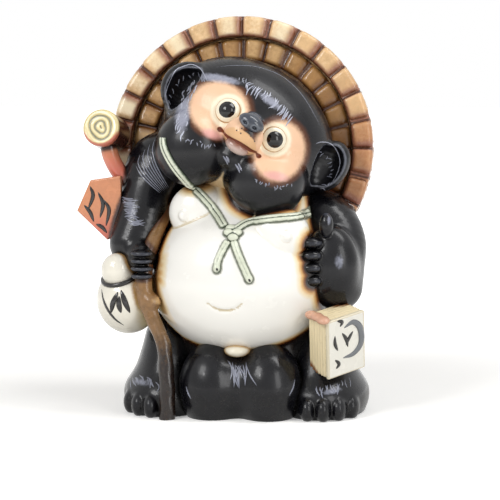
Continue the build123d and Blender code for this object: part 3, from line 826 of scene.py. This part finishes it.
FORMS = {
    "torso": CHEST,
    "head": HEAD,
    "jowls": melt(0, *JOWLS),
    "right_arm": arm("right"),
    "left_arm": arm("left"),
    "right_leg": leg("right"),
    "left_leg": leg("left"),
    "pouch": above_floor(melt(12, *[egg(*lobe) for lobe in POUCH_LOBES])),
    "nub": egg(*NUB),
    "tail": above_floor(roll(TAIL, TAIL_RADII)),
    "staff": above_floor(roll(STAFF, STAFF_RADII)),
}
FLASK_PLACE = np.array((-76.0, -31.0, 72.0))
FLASK_AXES = turn("X", 23) @ turn("Y", -11)
FLASK_BULBS = ((0, (20, 20, 22)), (22.5, (11, 11, 12)))
WAIST_RISE = 18.5
WAIST_RADIUS = 11.6
WAIST_CORD = 1.5


def flask_bulb(rise, radii):
    """A bulb of the flask at a height along its axis."""
    return egg(FLASK_PLACE + rise * FLASK_AXES[:, 2], radii, FLASK_AXES)


FORMS["flask"] = melt(1.5, *[flask_bulb(*bulb) for bulb in FLASK_BULBS])
LEDGER_PLACE = np.array((58.0, -57.0, 27.0))
LEDGER_AXES = turn("X", 15) @ turn("Z", -46)
PAGES_CORNERS = ((-20, 0, 0), (-2, 30, 39))
COVER_CORNERS = ((-2.4, -0.5, -0.3), (0.2, 30, 39.3))
LEAF_PITCH = 2.6
TIE_PLACE = (-9.5, -0.8, 39.8)
TIE_BEADS = ((-5.5, 0), (0, 0.4), (5.5, 0))
TIE_RADII = (5, 4, 2.6)
FORMS["pages"] = block(*PAGES_CORNERS, 1.2, LEDGER_PLACE, LEDGER_AXES)
FORMS["cover"] = block(*COVER_CORNERS, 0.8, LEDGER_PLACE, LEDGER_AXES)
MALLET_FACE = np.array((-94.5, -24.0, 184.5))
MALLET_RADIUS = 12.3
MALLET_HALF = 13.5
MALLET_EDGE = 2.0
MALLET_OUT = np.array((-0.12, -0.95, 0.24)) / np.linalg.norm((-0.12, -0.95, 0.24))


def mallet_frame(p):
    """Offsets from the mallet's face, depths behind it and distances from its axis."""
    away = p - MALLET_FACE
    deep = -away @ MALLET_OUT
    return away, deep, length(away + deep[:, None] * MALLET_OUT)


def mallet(p):
    """A short log with rounded edges."""
    _, deep, far = mallet_frame(p)
    ends = np.abs(deep - MALLET_HALF) - MALLET_HALF
    return rounded(np.column_stack((far - MALLET_RADIUS, ends)), MALLET_EDGE)


HANDLE = ((-92, -13, 178), (-89.5, -15, 165), (-82, -15, 152), (-71, -14, 141))
HANDLE_RADIUS = 5.5
FORMS["mallet"] = mallet
FORMS["handle"] = roll(HANDLE, HANDLE_RADIUS)
BOARD = np.array(((-101, 150), (-110, 130), (-90, 111), (-80, 116), (-81, 153)), float)
BOARD_Y = -24
BOARD_HALF = 3
BOARD_EDGE = 1.0


def board(p):
    """A plate with straight edges."""
    q = p[:, [0, 2]]
    out = np.full(len(p), -1e9)
    for a, b in zip(BOARD, np.roll(BOARD, -1, axis=0)):
        along = (b - a) / np.linalg.norm(b - a)
        out = np.maximum(out, (q - a) @ np.array((along[1], -along[0])))
    return rounded(np.column_stack((out, np.abs(p[:, 1] - BOARD_Y) - BOARD_HALF)), BOARD_EDGE)


FORMS["board"] = board


# Hat

HAT_AXES = turn("X", -96)


def hat_frame(p):
    """Distance from the hat's axis, angle about it and depth behind its rim."""
    q = (p - HAT_CENTRE) @ HAT_AXES
    return np.hypot(q[:, 0], q[:, 1]), np.arctan2(q[:, 1], q[:, 0]), q[:, 2]


def bundle_at(angle):
    """Which straw bundle lies at an angle, and the place across it from -0.5 to 0.5."""
    spot = (angle / (2 * math.pi) * STRAWS) % STRAWS
    number = np.floor(spot).astype(int) % STRAWS
    return number, spot - number - 0.5


def straw(inner, outer, low, high, seed):
    """A ring of straw bundles, each a little different, on a core that closes the gaps."""
    random = np.random.default_rng(seed)
    shift = random.normal(0, 0.035, STRAWS)
    raised = random.normal(0, 0.6, STRAWS)
    middle = (inner + outer) / 2

    def field(p):
        far, angle, deep = hat_frame(p)
        number, across = bundle_at(angle)
        along = (across + shift[number]) * 2 * math.pi / STRAWS * far
        half = math.pi / STRAWS * far - 0.75
        lean = 0.09 * along
        ring = np.abs(far - middle) - (outer - inner) / 2
        ends = np.maximum(low + raised[number] + lean - deep, deep - high)
        bundle = rounded(np.column_stack((ring, np.abs(along) - half, ends)), STRAW_EDGE)
        core = np.maximum(ring + 0.3, np.maximum(low + CORE_DEPTH - deep, deep - high))
        return np.minimum(bundle, core)
    return field


def straw_masks(inner, seed):
    """Masks of a ring of straw: its gaps, painted shade on one side of the hat and of each bundle, its edges,
    and pale middles: painted light, paler in some bundles than in others.
    """
    paler = np.random.default_rng(seed).uniform(0, 1, STRAWS)

    def masks(p):
        far, angle, _ = hat_frame(p)
        number, across = bundle_at(angle)
        side = across * 2
        off = np.abs(side)
        # Painted light and shade: the hat darkens towards the side at 35 degrees and lightens on the other
        # side.
        around = np.cos(angle - math.radians(35))
        return {
            "gap": smooth(0.84, 0.99, off) + smooth(2.0, 0.0, far - inner),
            "tilt": smooth(-0.2, 1.0, around) * (0.5 + 0.5 * paler[number]),
            # Painted shade on one side of each bundle, with darker edges.
            "rim": np.maximum.reduce([
                smooth(-0.2, 0.95, side), smooth(0.7, 1.0, off), smooth(5.0, 0.5, far - inner),
            ]),
            "pale": (1 - off**2) * (0.35 + 0.65 * paler[number]) * smooth(0.8, -0.6, around),
        }
    return masks


def crown(p):
    """The shallow back of the hat, thatched in rings."""
    far, angle, deep = hat_frame(p)
    ball = (HAT_RADIUS**2 + CROWN_RISE**2) / (2 * CROWN_RISE)
    back = CROWN_BACK - ball + np.sqrt(np.maximum(ball**2 - far**2, 0))
    ring = 0.7 * np.abs(np.sin(far / THATCH_STEP)) ** 0.5
    ribs = 0.35 * np.cos(angle * THATCH_RIBS) * smooth(*THATCH_FADE, far)
    shell = deep - back - ring - ribs
    hollow = deep - np.maximum(back - CROWN_WALL, 6)
    inside = np.where(far < HOLLOW_RADIUS, -hollow, -CROWN_WALL)
    return np.maximum.reduce([shell * 0.8, CROWN_FRONT - deep, far - HAT_RADIUS, inside])


def crown_masks(p):
    """Pale ribs and dark ring lines of the thatch."""
    far, angle, _ = hat_frame(p)
    ribbed = smooth(*THATCH_FADE, far)
    return {
        "pale": smooth(-1, 1, ribbed * np.cos(angle * THATCH_RIBS)),
        "gap": 0.8 * np.abs(np.cos(far / THATCH_STEP)) ** 12,
    }


def hat(p):
    """The hat as a plain disc, for what stands close to it."""
    far, _, deep = hat_frame(p)
    return np.maximum(np.abs(deep - 3) - 9, far - HAT_RADIUS)


FORMS["hat"] = hat


# Chin cord of two strands, with its knot and tails
CORD_SPOTS = {
    "right": ((164, 132), (164, 146), (172, 163), (186, 181), (201, 195), (214, 210), (224, 226)),
    "left": ((237, 229), (247, 223), (262, 220), (280, 218), (300, 216), (316, 208), (328, 197)),
}
TAIL_SPOTS = {
    "right": ((227, 243), (222, 252), (218, 261), (217, 269)),
    "left": ((234, 243), (238, 254), (243, 266), (249, 279)),
}
CARRIER = melt(2, CHEST, HEAD, FORMS["right_arm"], FORMS["left_arm"])


def cord(spots, gap, radius):
    """Two strands side by side over the chest, the head and the arms."""
    middle = touch(through(spots, 4), CARRIER)
    out = slope(CARRIER, middle)
    side = unit(np.cross(np.gradient(middle, axis=0), out))
    return [roll(middle + sign * gap * side + 0.3 * radius * out, radius, 1) for sign in (-1, 1)]


CORDS = {side: melt(0.3, *cord(CORD_SPOTS[side], 1.15, 1.5)) for side in SIDES}
TAIL_ENDS = touch([TAIL_SPOTS[side][-1] for side in SIDES], CHEST)
CORD_TAILS = {
    side: melt(0.4, *cord(TAIL_SPOTS[side], 1.0, 1.4), egg(end, (2.6, 2.2, 3.0)))
    for side, end in zip(SIDES, TAIL_ENDS)
}
KNOT_SPOTS = ((229, 233), (233, 238), (237, 233), (231, 229))
KNOT = melt(0.5, *[egg(spot, (3.6, 3.0, 3.0)) for spot in touch(KNOT_SPOTS, CHEST)])
FORMS["cords"] = melt(0, KNOT, *CORDS.values(), *CORD_TAILS.values())


# Everything that is built

skin(
    "head_skin", HEAD,
    ("head_shell", "right_jowl", "left_jowl", "muzzle", "chin_tuft", "right_ear", "left_ear"),
    "face_glaze", HEAD_GLAZE, 0.8, masks=face_masks, relief=comb,
)


def torso_masks(p):
    """White where the glaze is thick, brown to black towards the limbs and the back."""
    edge = np.minimum.reduce([
        -p[:, 1] - 15, np.maximum(1.6 * BODY(p), p[:, 2] - 80),
        *[FORMS[name](p) for name in ("right_arm", "left_arm", "staff", "jowls", "right_leg", "left_leg")],
    ])
    return {
        "tone": np.clip(edge / 9.5, 0, 1), "shade": smooth(134, 160, p[:, 2]),
        "pool": 1 - smooth(0.2, 2.2, FORMS["cords"](p)),
    }


NAVEL = ((207, 303), (215, 308.5), (225, 311), (235, 309), (242, 304))
TORSO = cut(1.2, melt(1.2, CHEST, *NIPPLE_FORMS), roll(touch(NAVEL, CHEST), (0.3, 0.7, 0.9, 0.7, 0.3)))
skin(
    "torso_skin", above_floor(TORSO),
    ("belly_shell", "back_shell", "right_nipple", "left_nipple"),
    "white_glaze", BODY_GLAZE, 1.1, masks=torso_masks,
)

# Painted sheen: pale lilac patches where highlights fall on the arms and the feet.
PAINTED_SHEEN_ARMS = {
    "right": painted_sheen(((131, 209), (10, 19), -12)),
    "left": painted_sheen(((339, 262), (8, 14), 0), ((329, 220), (4, 9), 0)),
}
PAINTED_SHEEN_LEGS = {"right": painted_sheen(((141, 382), (17, 7), 12)), "left": painted_sheen(((332, 391), (19, 6), -14))}
for side in SIDES:
    skin(
        f"{side}_arm_skin", FORMS[f"{side}_arm"], (f"{side}_arm", f"{side}_hand", f"{side}_fingers"),
        "black_glaze", BLACK_GLAZE, 0.8, ("torso", "head", "staff", "flask", "pages", "hat"),
        masks=PAINTED_SHEEN_ARMS[side],
    )
    skin(
        f"{side}_leg_skin", FORMS[f"{side}_leg"], (f"{side}_leg", f"{side}_toes"),
        "black_glaze", BLACK_GLAZE, 1.0, ("torso", "pouch", "staff", "tail"),
        masks=PAINTED_SHEEN_LEGS[side],
    )

TRUNK_PARTS = ("torso", "right_leg", "left_leg")
plain_skin("pouch", "money_pouch", "black_glaze", BLACK_GLAZE, 0.9, TRUNK_PARTS)
plain_skin(
    "nub", "front_nub", "cream_glaze", WHITE_GLAZE, 0.5, ("torso", "pouch"),
    masks=lambda p: {"shade": np.full(len(p), 0.5)},
)
plain_skin("tail", "tail", "black_glaze", BLACK_GLAZE, 1.0, TRUNK_PARTS)

for side, (middle, axes) in zip(SIDES, EYES):
    white = egg(middle, EYE_RADII, axes)
    pupil = egg(middle + PUPIL_OUT * axes[:, 2], PUPIL_RADII, axes)

    def eye_masks(p, middle=middle, axes=axes):
        q = (p - middle) @ axes
        far = np.hypot(q[:, 0], q[:, 1])
        return {"iris": smooth(5.6, 5.0, far), "rim": smooth(7.0, 8.0, far)}

    skin(
        f"{side}_eye_glazed", melt(0.5, white, pupil), (f"{side}_eye",), "eye_glaze", EYE_GLAZE, 0.45,
        masks=eye_masks,
    )

NOSE = cut(
    0.8, melt(2, *[head_egg(*size) for size in NOSE_SIZES]), *[head_egg(*size) for size in NOSTRIL_SIZES],
)
skin("nose_skin", NOSE, ("nose",), "black_glaze", NOSE_GLAZE, 0.5)
skin("lip_skin", head_egg(*LIP_SIZE), ("lower_lip",), "lip_glaze", LIP_GLAZE, 0.5, ("head",))

BRIM_INNER = HAT_RADIUS - BRIM_WIDTH
BAND_INNER = BRIM_INNER - BAND_WIDTH
HAT_NEIGHBOURS = ("head", "right_arm", "left_arm", "torso")
skin(
    "brim_straw", straw(BRIM_INNER, HAT_RADIUS, -6, 6, 3), ("hat_brim",), "straw_glaze", STRAW_GLAZE, 0.9,
    HAT_NEIGHBOURS, masks=straw_masks(BRIM_INNER, 5),
)
skin(
    "band_straw", straw(BAND_INNER, BRIM_INNER - 0.4, 0, 6, 11), ("hat_inner_band",), "straw_glaze",
    BAND_GLAZE, 0.9, HAT_NEIGHBOURS, masks=straw_masks(BAND_INNER, 13),
)
skin("crown_straw", crown, ("hat_crown",), "straw_glaze", BAND_GLAZE, 1.1, HAT_NEIGHBOURS, masks=crown_masks)

STAFF_MIDDLE = (-52, -50)


def bark(p):
    """Low knobs that wind about the staff."""
    angle = np.arctan2(p[:, 1] - STAFF_MIDDLE[1], p[:, 0] - STAFF_MIDDLE[0])
    return 0.35 * np.sin(5 * angle + p[:, 2] / 4) * np.sin(p[:, 2] / 6.5 + 1.3 * angle)


STAFF_KNOT = egg((-57, -50, 74), (6.2, 5.6, 5.0))
skin(
    "staff_skin", melt(3, FORMS["staff"], STAFF_KNOT), ("staff",), "wood_glaze", STAFF_GLAZE, 0.7,
    ("torso", "right_arm", "right_leg"), masks=lambda p: {"foot": smooth(72, 30, p[:, 2])}, relief=bark,
)
plain_skin(
    "flask", "flask", "white_glaze", WHITE_GLAZE, 0.8,
    ("right_arm", "staff", "right_leg"), masks=lambda p: {"shade": smooth(-74, -60, p[:, 0])},
)
angles = np.linspace(0, 2 * math.pi, 33)
waist = np.column_stack((
    WAIST_RADIUS * np.cos(angles), WAIST_RADIUS * np.sin(angles), np.full(len(angles), WAIST_RISE),
))
waist = FLASK_PLACE + waist @ FLASK_AXES.T
skin("flask_cord_skin", roll(waist, WAIST_CORD, 1), ("flask_cord",), "black_glaze", INK_GLAZE, 0.5)


def leaves(p):
    """The edges of the ledger's leaves."""
    across = ((p - LEDGER_PLACE) @ LEDGER_AXES)[:, 0]
    return 0.3 * np.cos(across * 2 * math.pi / LEAF_PITCH)


PAGES_NEIGHBOURS = ("left_arm", "left_leg", "torso")
plain_skin("pages", "ledger_pages", "cream_glaze", PAPER_GLAZE, 0.6, PAGES_NEIGHBOURS, relief=leaves)
plain_skin("cover", "ledger_cover", "white_glaze", COVER_GLAZE, 0.6, ("left_arm", "left_leg"))
tie_middle = LEDGER_PLACE + LEDGER_AXES @ TIE_PLACE
TIE = melt(0.8, *[egg(tie_middle + LEDGER_AXES @ (x, 0, z), TIE_RADII, LEDGER_AXES) for x, z in TIE_BEADS])
skin("tie_skin", TIE, ("ledger_tie",), "red_glaze", TIE_GLAZE, 0.5, ("left_arm",))


def mallet_masks(p):
    """Wandering rings on the sawn face, bark round the side and a blush below."""
    away, deep, far = mallet_frame(p)
    turned = np.arctan2(away[:, 2], away[:, 0])
    wander = far + 0.5 * np.sin(2 * turned + 0.6) + 0.35 * np.sin(3 * turned + far / 3)
    rings = np.abs(np.cos(wander * math.pi / 3.8)) ** 3
    return {
        "ring": rings * smooth(2.0, 0.4, deep) * smooth(10.8, 9.6, far), "bark": smooth(1.2, 3.0, deep),
        "blush": smooth(9.4, 11.6, far) * smooth(3, -8, away[:, 2]) * smooth(6, 3, deep),
    }


plain_skin(
    "mallet", "mallet_head", "wood_glaze", WOOD_GLAZE, 0.6, ("handle", "hat"),
    masks=mallet_masks, relief=lambda p: -0.35 * mallet_masks(p)["ring"],
)
plain_skin(
    "handle", "mallet_handle", "red_glaze", RED_GLAZE, 0.7,
    ("mallet", "right_arm", "hat"), masks=lambda p: {"shade": smooth(185, 150, p[:, 2])},
)
plain_skin(
    "board", "sign_board", "red_glaze", RED_GLAZE, 0.7, ("right_arm", "handle"),
    masks=lambda p: {"shade": smooth(140, 112, p[:, 2])},
)

for side in SIDES:
    skin(
        f"{side}_cord_skin", CORDS[side], (f"{side}_chin_cord",), "cord_glaze", CORD_GLAZE, 0.5,
        ("torso", "head"), margin=26,
    )
    skin(
        f"{side}_tail_skin", CORD_TAILS[side], (f"{side}_cord_tail",), "cord_glaze", CORD_GLAZE, 0.45,
        ("torso",), margin=8,
    )
skin("knot_skin", KNOT, ("cord_knot",), "cord_glaze", CORD_GLAZE, 0.45, ("torso",))

# Fur strokes, some of them pale as painted highlights; a fringe is its line, then the count, size, heading,
# spread and seed of its strokes
SHOULDER_LINE = np.array(((155, 138), (152.5, 150), (155.5, 163), (162, 176), (169, 188)))
SHOULDER_STEP = np.array(((-2.5, 2.8), (-2.4, 2.2), (-2.1, 1.7), (-1.7, 1.2), (-1.3, 0.7)))
brush("shoulder_fur", [(SHOULDER_LINE + number * SHOULDER_STEP)[number % 2:] for number in range(8)],
      "right_arm", 0.45, FUR_AND_GLINT_GLAZE, lift=0.25)
# Short pale strokes on the sleeve: a painted highlight, streaked like combed fur.
brush("sleeve_glint_strokes", fringe(((122, 196), (123, 206), (125, 216), (128, 225)), 20, 15, 8, 4, 19),
      "right_arm", 0.5, FUR_AND_GLINT_GLAZE, lift=0.25)
# Raised combed strokes on the forehead, pale as a painted highlight across the glint band.
brush("forehead_glint_fur", fringe(((251, 83), (262, 88), (274, 97), (286, 107), (293, 115)), 22, 11, 126, 4, 18),
      "head", 0.5, PALE_FUR_AND_GLINT_GLAZE, lift=0.2)


def tuft(name, form, width, *strokes):
    """A fringe of fur on a form."""
    brush(f"{name}_fur", fringe(*strokes), form, width, FUR_AND_GLINT_GLAZE)


tuft("right_ear", "head", 0.45, ((168, 112), (168, 98), (174, 84), (184, 75), (196, 73), (203, 79)),
     13, 5, 70, 25, 2)
OUTER_CHEEK = ((195, 80), (187, 88), (182, 100), (180, 112), (180, 124), (184, 134))
INNER_CHEEK = ((198, 86), (191, 96), (187, 108), (186, 120))
brush("right_face_fur", fringe(OUTER_CHEEK, 17, 9, 108, 6, 4) + fringe(INNER_CHEEK, 9, 7, 112, 6, 5),
      "head", 0.55, PALE_FUR_AND_GLINT_GLAZE, lift=0.25)
tuft("right_cheek", "head", 0.4, ((186, 138), (196, 141), (206, 144), (214, 145)), 12, 4, 100, 25, 6)
tuft("left_cheek", "head", 0.4, ((256, 180), (266, 183), (278, 186), (292, 184)), 14, 4, 100, 25, 8)
tuft("brow", "head", 0.4, ((240, 81), (246, 84), (251, 89)), 8, 4, -60, 30, 10)
tuft("left_ear", "head", 0.45, ((322, 152), (330, 158), (333, 168), (331, 180), (324, 190)),
     12, 5, 170, 25, 12)
brush("chin_fur", [((223, 156), (226, 160), (228, 165)), ((226, 156), (228, 159), (229, 163)),
                   ((235, 164), (238, 168), (240, 173)), ((238, 163), (240, 167), (242, 171))],
      "head", 0.8, FUR_AND_GLINT_GLAZE)
tuft("pouch", "pouch", 0.5, ((227, 361), (237, 365), (247, 363)), 13, 20, 82, 12, 14)
# Fur strokes along the toes, whose pale colour is a painted highlight.
tuft("right_foot_glint", "right_leg", 0.5, ((131, 379), (139, 376), (147, 377), (154, 381)), 13, 9, 74, 9, 20)
tuft("left_foot_glint", "left_leg", 0.5, ((315, 387), (326, 385), (337, 384), (348, 377)), 14, 9, 80, 9, 21)

# Thin lines of pale glaze along rims
EAR_RIMS = {
    "right": (
        (165, 106), (166, 92), (174.5, 72), (183, 66.5), (192, 64.5), (200, 68.5), (205, 76), (207.5, 82),
    ),
    "left": ((315, 144), (322, 142), (331, 144), (337.5, 152), (340, 163), (336.5, 175), (330, 185)),
}
for side, rim in EAR_RIMS.items():
    brush(f"{side}_ear_rim", [rim], "head", 0.4, PALE_FUR_AND_GLINT_GLAZE, lift=0.3)
CROWN_LINE = (
    (215, 67), (233, 65.5), (252, 66), (268, 70), (283, 77), (297, 89), (307, 102), (315, 116), (321, 128),
)
brush("crown_line", [CROWN_LINE], "head", 0.35, FUR_AND_GLINT_GLAZE, lift=0.25)
brush("pouch_lines", [((295, 379), (293, 388), (289, 396)), ((186, 386), (188, 393), (191, 399))],
      "pouch", 0.7, FUR_AND_GLINT_GLAZE, lift=0.3)

WHISKER_SPOTS = ((236, 130), (241, 128), (246, 131), (240, 133), (250, 136), (254, 141))
brush("whisker_dots", [
    ((x, y), (x + 0.7, y + 0.3), (x + 1.4, y + 0.8)) for x, y in WHISKER_SPOTS
], "head", 0.45, INK_GLAZE, lift=0.25)
brush("tail_dots", [((216.5, 268), (217, 269.5), (217.2, 271)), ((248.5, 279), (249.5, 280.5), (250.2, 282))],
      "cords", 0.7, INK_GLAZE, lift=0.25)

# Plain marks on the things carried
brush("flask_marks", [
    ((118, 292), (113, 303), (111, 313)), ((121, 290), (125, 302), (130, 313)),
    ((119, 296), (119, 305), (121, 313)),
], "flask", 1.8, INK_GLAZE, lift=0.2)
brush("flask_line", [((101.5, 289), (103.5, 300), (108, 310), (115, 319), (124, 325.5))],
      "flask", 1.1, INK_GLAZE, lift=0.2)
brush("cover_marks", [
    ((344, 328), (353, 322), (360, 328), (361, 342), (354, 353), (343, 358)),
], "cover", 2.4, GREY_GLAZE, lift=0.2)
brush("cover_leaves", [
    ((342, 333), (346, 339), (348, 347)), ((353, 331), (349, 338), (346, 345)),
    ((335, 336), (335, 344), (338, 351)), ((335, 360), (339, 364), (336, 369)),
    ((337, 321), (342, 322), (340, 327)),
], "cover", 1.3, INK_GLAZE, lift=0.2)
brush("board_marks", [
    ((90, 186), (93, 196), (88, 210)), ((84, 205), (90, 212), (94, 222)), ((98, 192), (103, 204), (100, 218)),
    ((104, 200), (109, 210), (106, 226)), ((96, 224), (102, 227), (107, 233)),
], "board", 1.3, INK_GLAZE, lift=0.25)


# Stage, light and camera

def straight(tree):
    """1 for what the camera sees by itself, in a mirror or through glass."""
    seen = node(tree, "ShaderNodeLightPath")
    total = seen["Is Camera Ray"]
    for ray in ("Is Glossy Ray", "Is Transmission Ray"):
        total = node(tree, "ShaderNodeMath", {0: total, 1: seen[ray]}, operation="MAXIMUM")[0]
    return total


def surface(name, colour, glow, reach):
    """A plain stage material that turns to white light with the distance from the object, in metres."""
    made = bpy.data.materials.new(name)
    made.use_nodes = True
    tree = made.node_tree
    shader = tree.nodes["Principled BSDF"]
    place = node(tree, "ShaderNodeTexCoord")["Object"]
    away = node(tree, "ShaderNodeVectorMath", {0: place}, operation="LENGTH")["Value"]
    limits = {"Value": away, "From Min": reach[0], "From Max": reach[1], "To Min": glow[0], "To Max": glow[1]}
    fade = node(tree, "ShaderNodeMapRange", limits, interpolation_type="SMOOTHSTEP")[0]
    power = node(tree, "ShaderNodeMath", {0: straight(tree), 1: fade}, operation="MULTIPLY")[0]
    feed(tree, shader, {
        "Base Color": tint(colour), "Roughness": 0.9, "Specular IOR Level": 0.1,
        "Emission Color": (1, 1, 1, 1), "Emission Strength": power,
    })
    return made


floor_mesh = bpy.data.meshes.new("floor")
floor_mesh.from_pydata([(-6, -3, 0), (6, -3, 0), (6, 6, 0), (-6, 6, 0)], [], [(0, 1, 2, 3)])
floor_mesh.materials.append(surface("floor_paper", "f4f3f0", (0.3, 1.0), (0.15, 0.6)))
floor = placed("floor", floor_mesh)


def lamp(name, place, aim, size, power):
    """A soft box that looks at a point, in metres."""
    light = bpy.data.lights.new(name, "AREA")
    light.shape = "RECTANGLE"
    light.size, light.size_y = size
    light.energy = power
    held = placed(name, light)
    held.location = place
    held.rotation_euler = (Vector(place) - Vector(aim)).to_track_quat("Z", "Y").to_euler()


lamp("key", (-0.75, -0.95, 0.95), (0, 0, 0.12), (0.55, 0.55), 9.4)
lamp("glint", (-0.5, -1.05, 0.7), (0, 0, 0.13), (0.12, 0.12), 1.3)
lamp("fill", (0.95, -0.85, 0.45), (0, 0, 0.12), (0.4, 0.8), 5)
lamp("top", (0.62, -0.13, 1.15), (0, 0, 0.18), (0.3, 0.8), 6)

world = bpy.data.worlds.new("studio")
bpy.context.scene.world = world
world.use_nodes = True
tree = world.node_tree
limits = {"Value": straight(tree), "To Min": 0.3, "To Max": 1.0}
strength = node(tree, "ShaderNodeMapRange", limits)[0]
feed(tree, tree.nodes["Background"], {"Color": (1, 1, 1, 1), "Strength": strength})

lens = bpy.data.cameras.new("camera")
lens.sensor_width = SENSOR_WIDTH
lens.lens = SENSOR_WIDTH * DISTANCE / FIELD_WIDTH
lens.clip_end = 20
camera = placed("camera", lens)
camera.location = EYE_POINT * MM
camera.rotation_euler = Vector(BACK).to_track_quat("Z", "Y").to_euler()
bpy.context.scene.camera = camera
bpy.context.scene.view_settings.view_transform = "Standard"
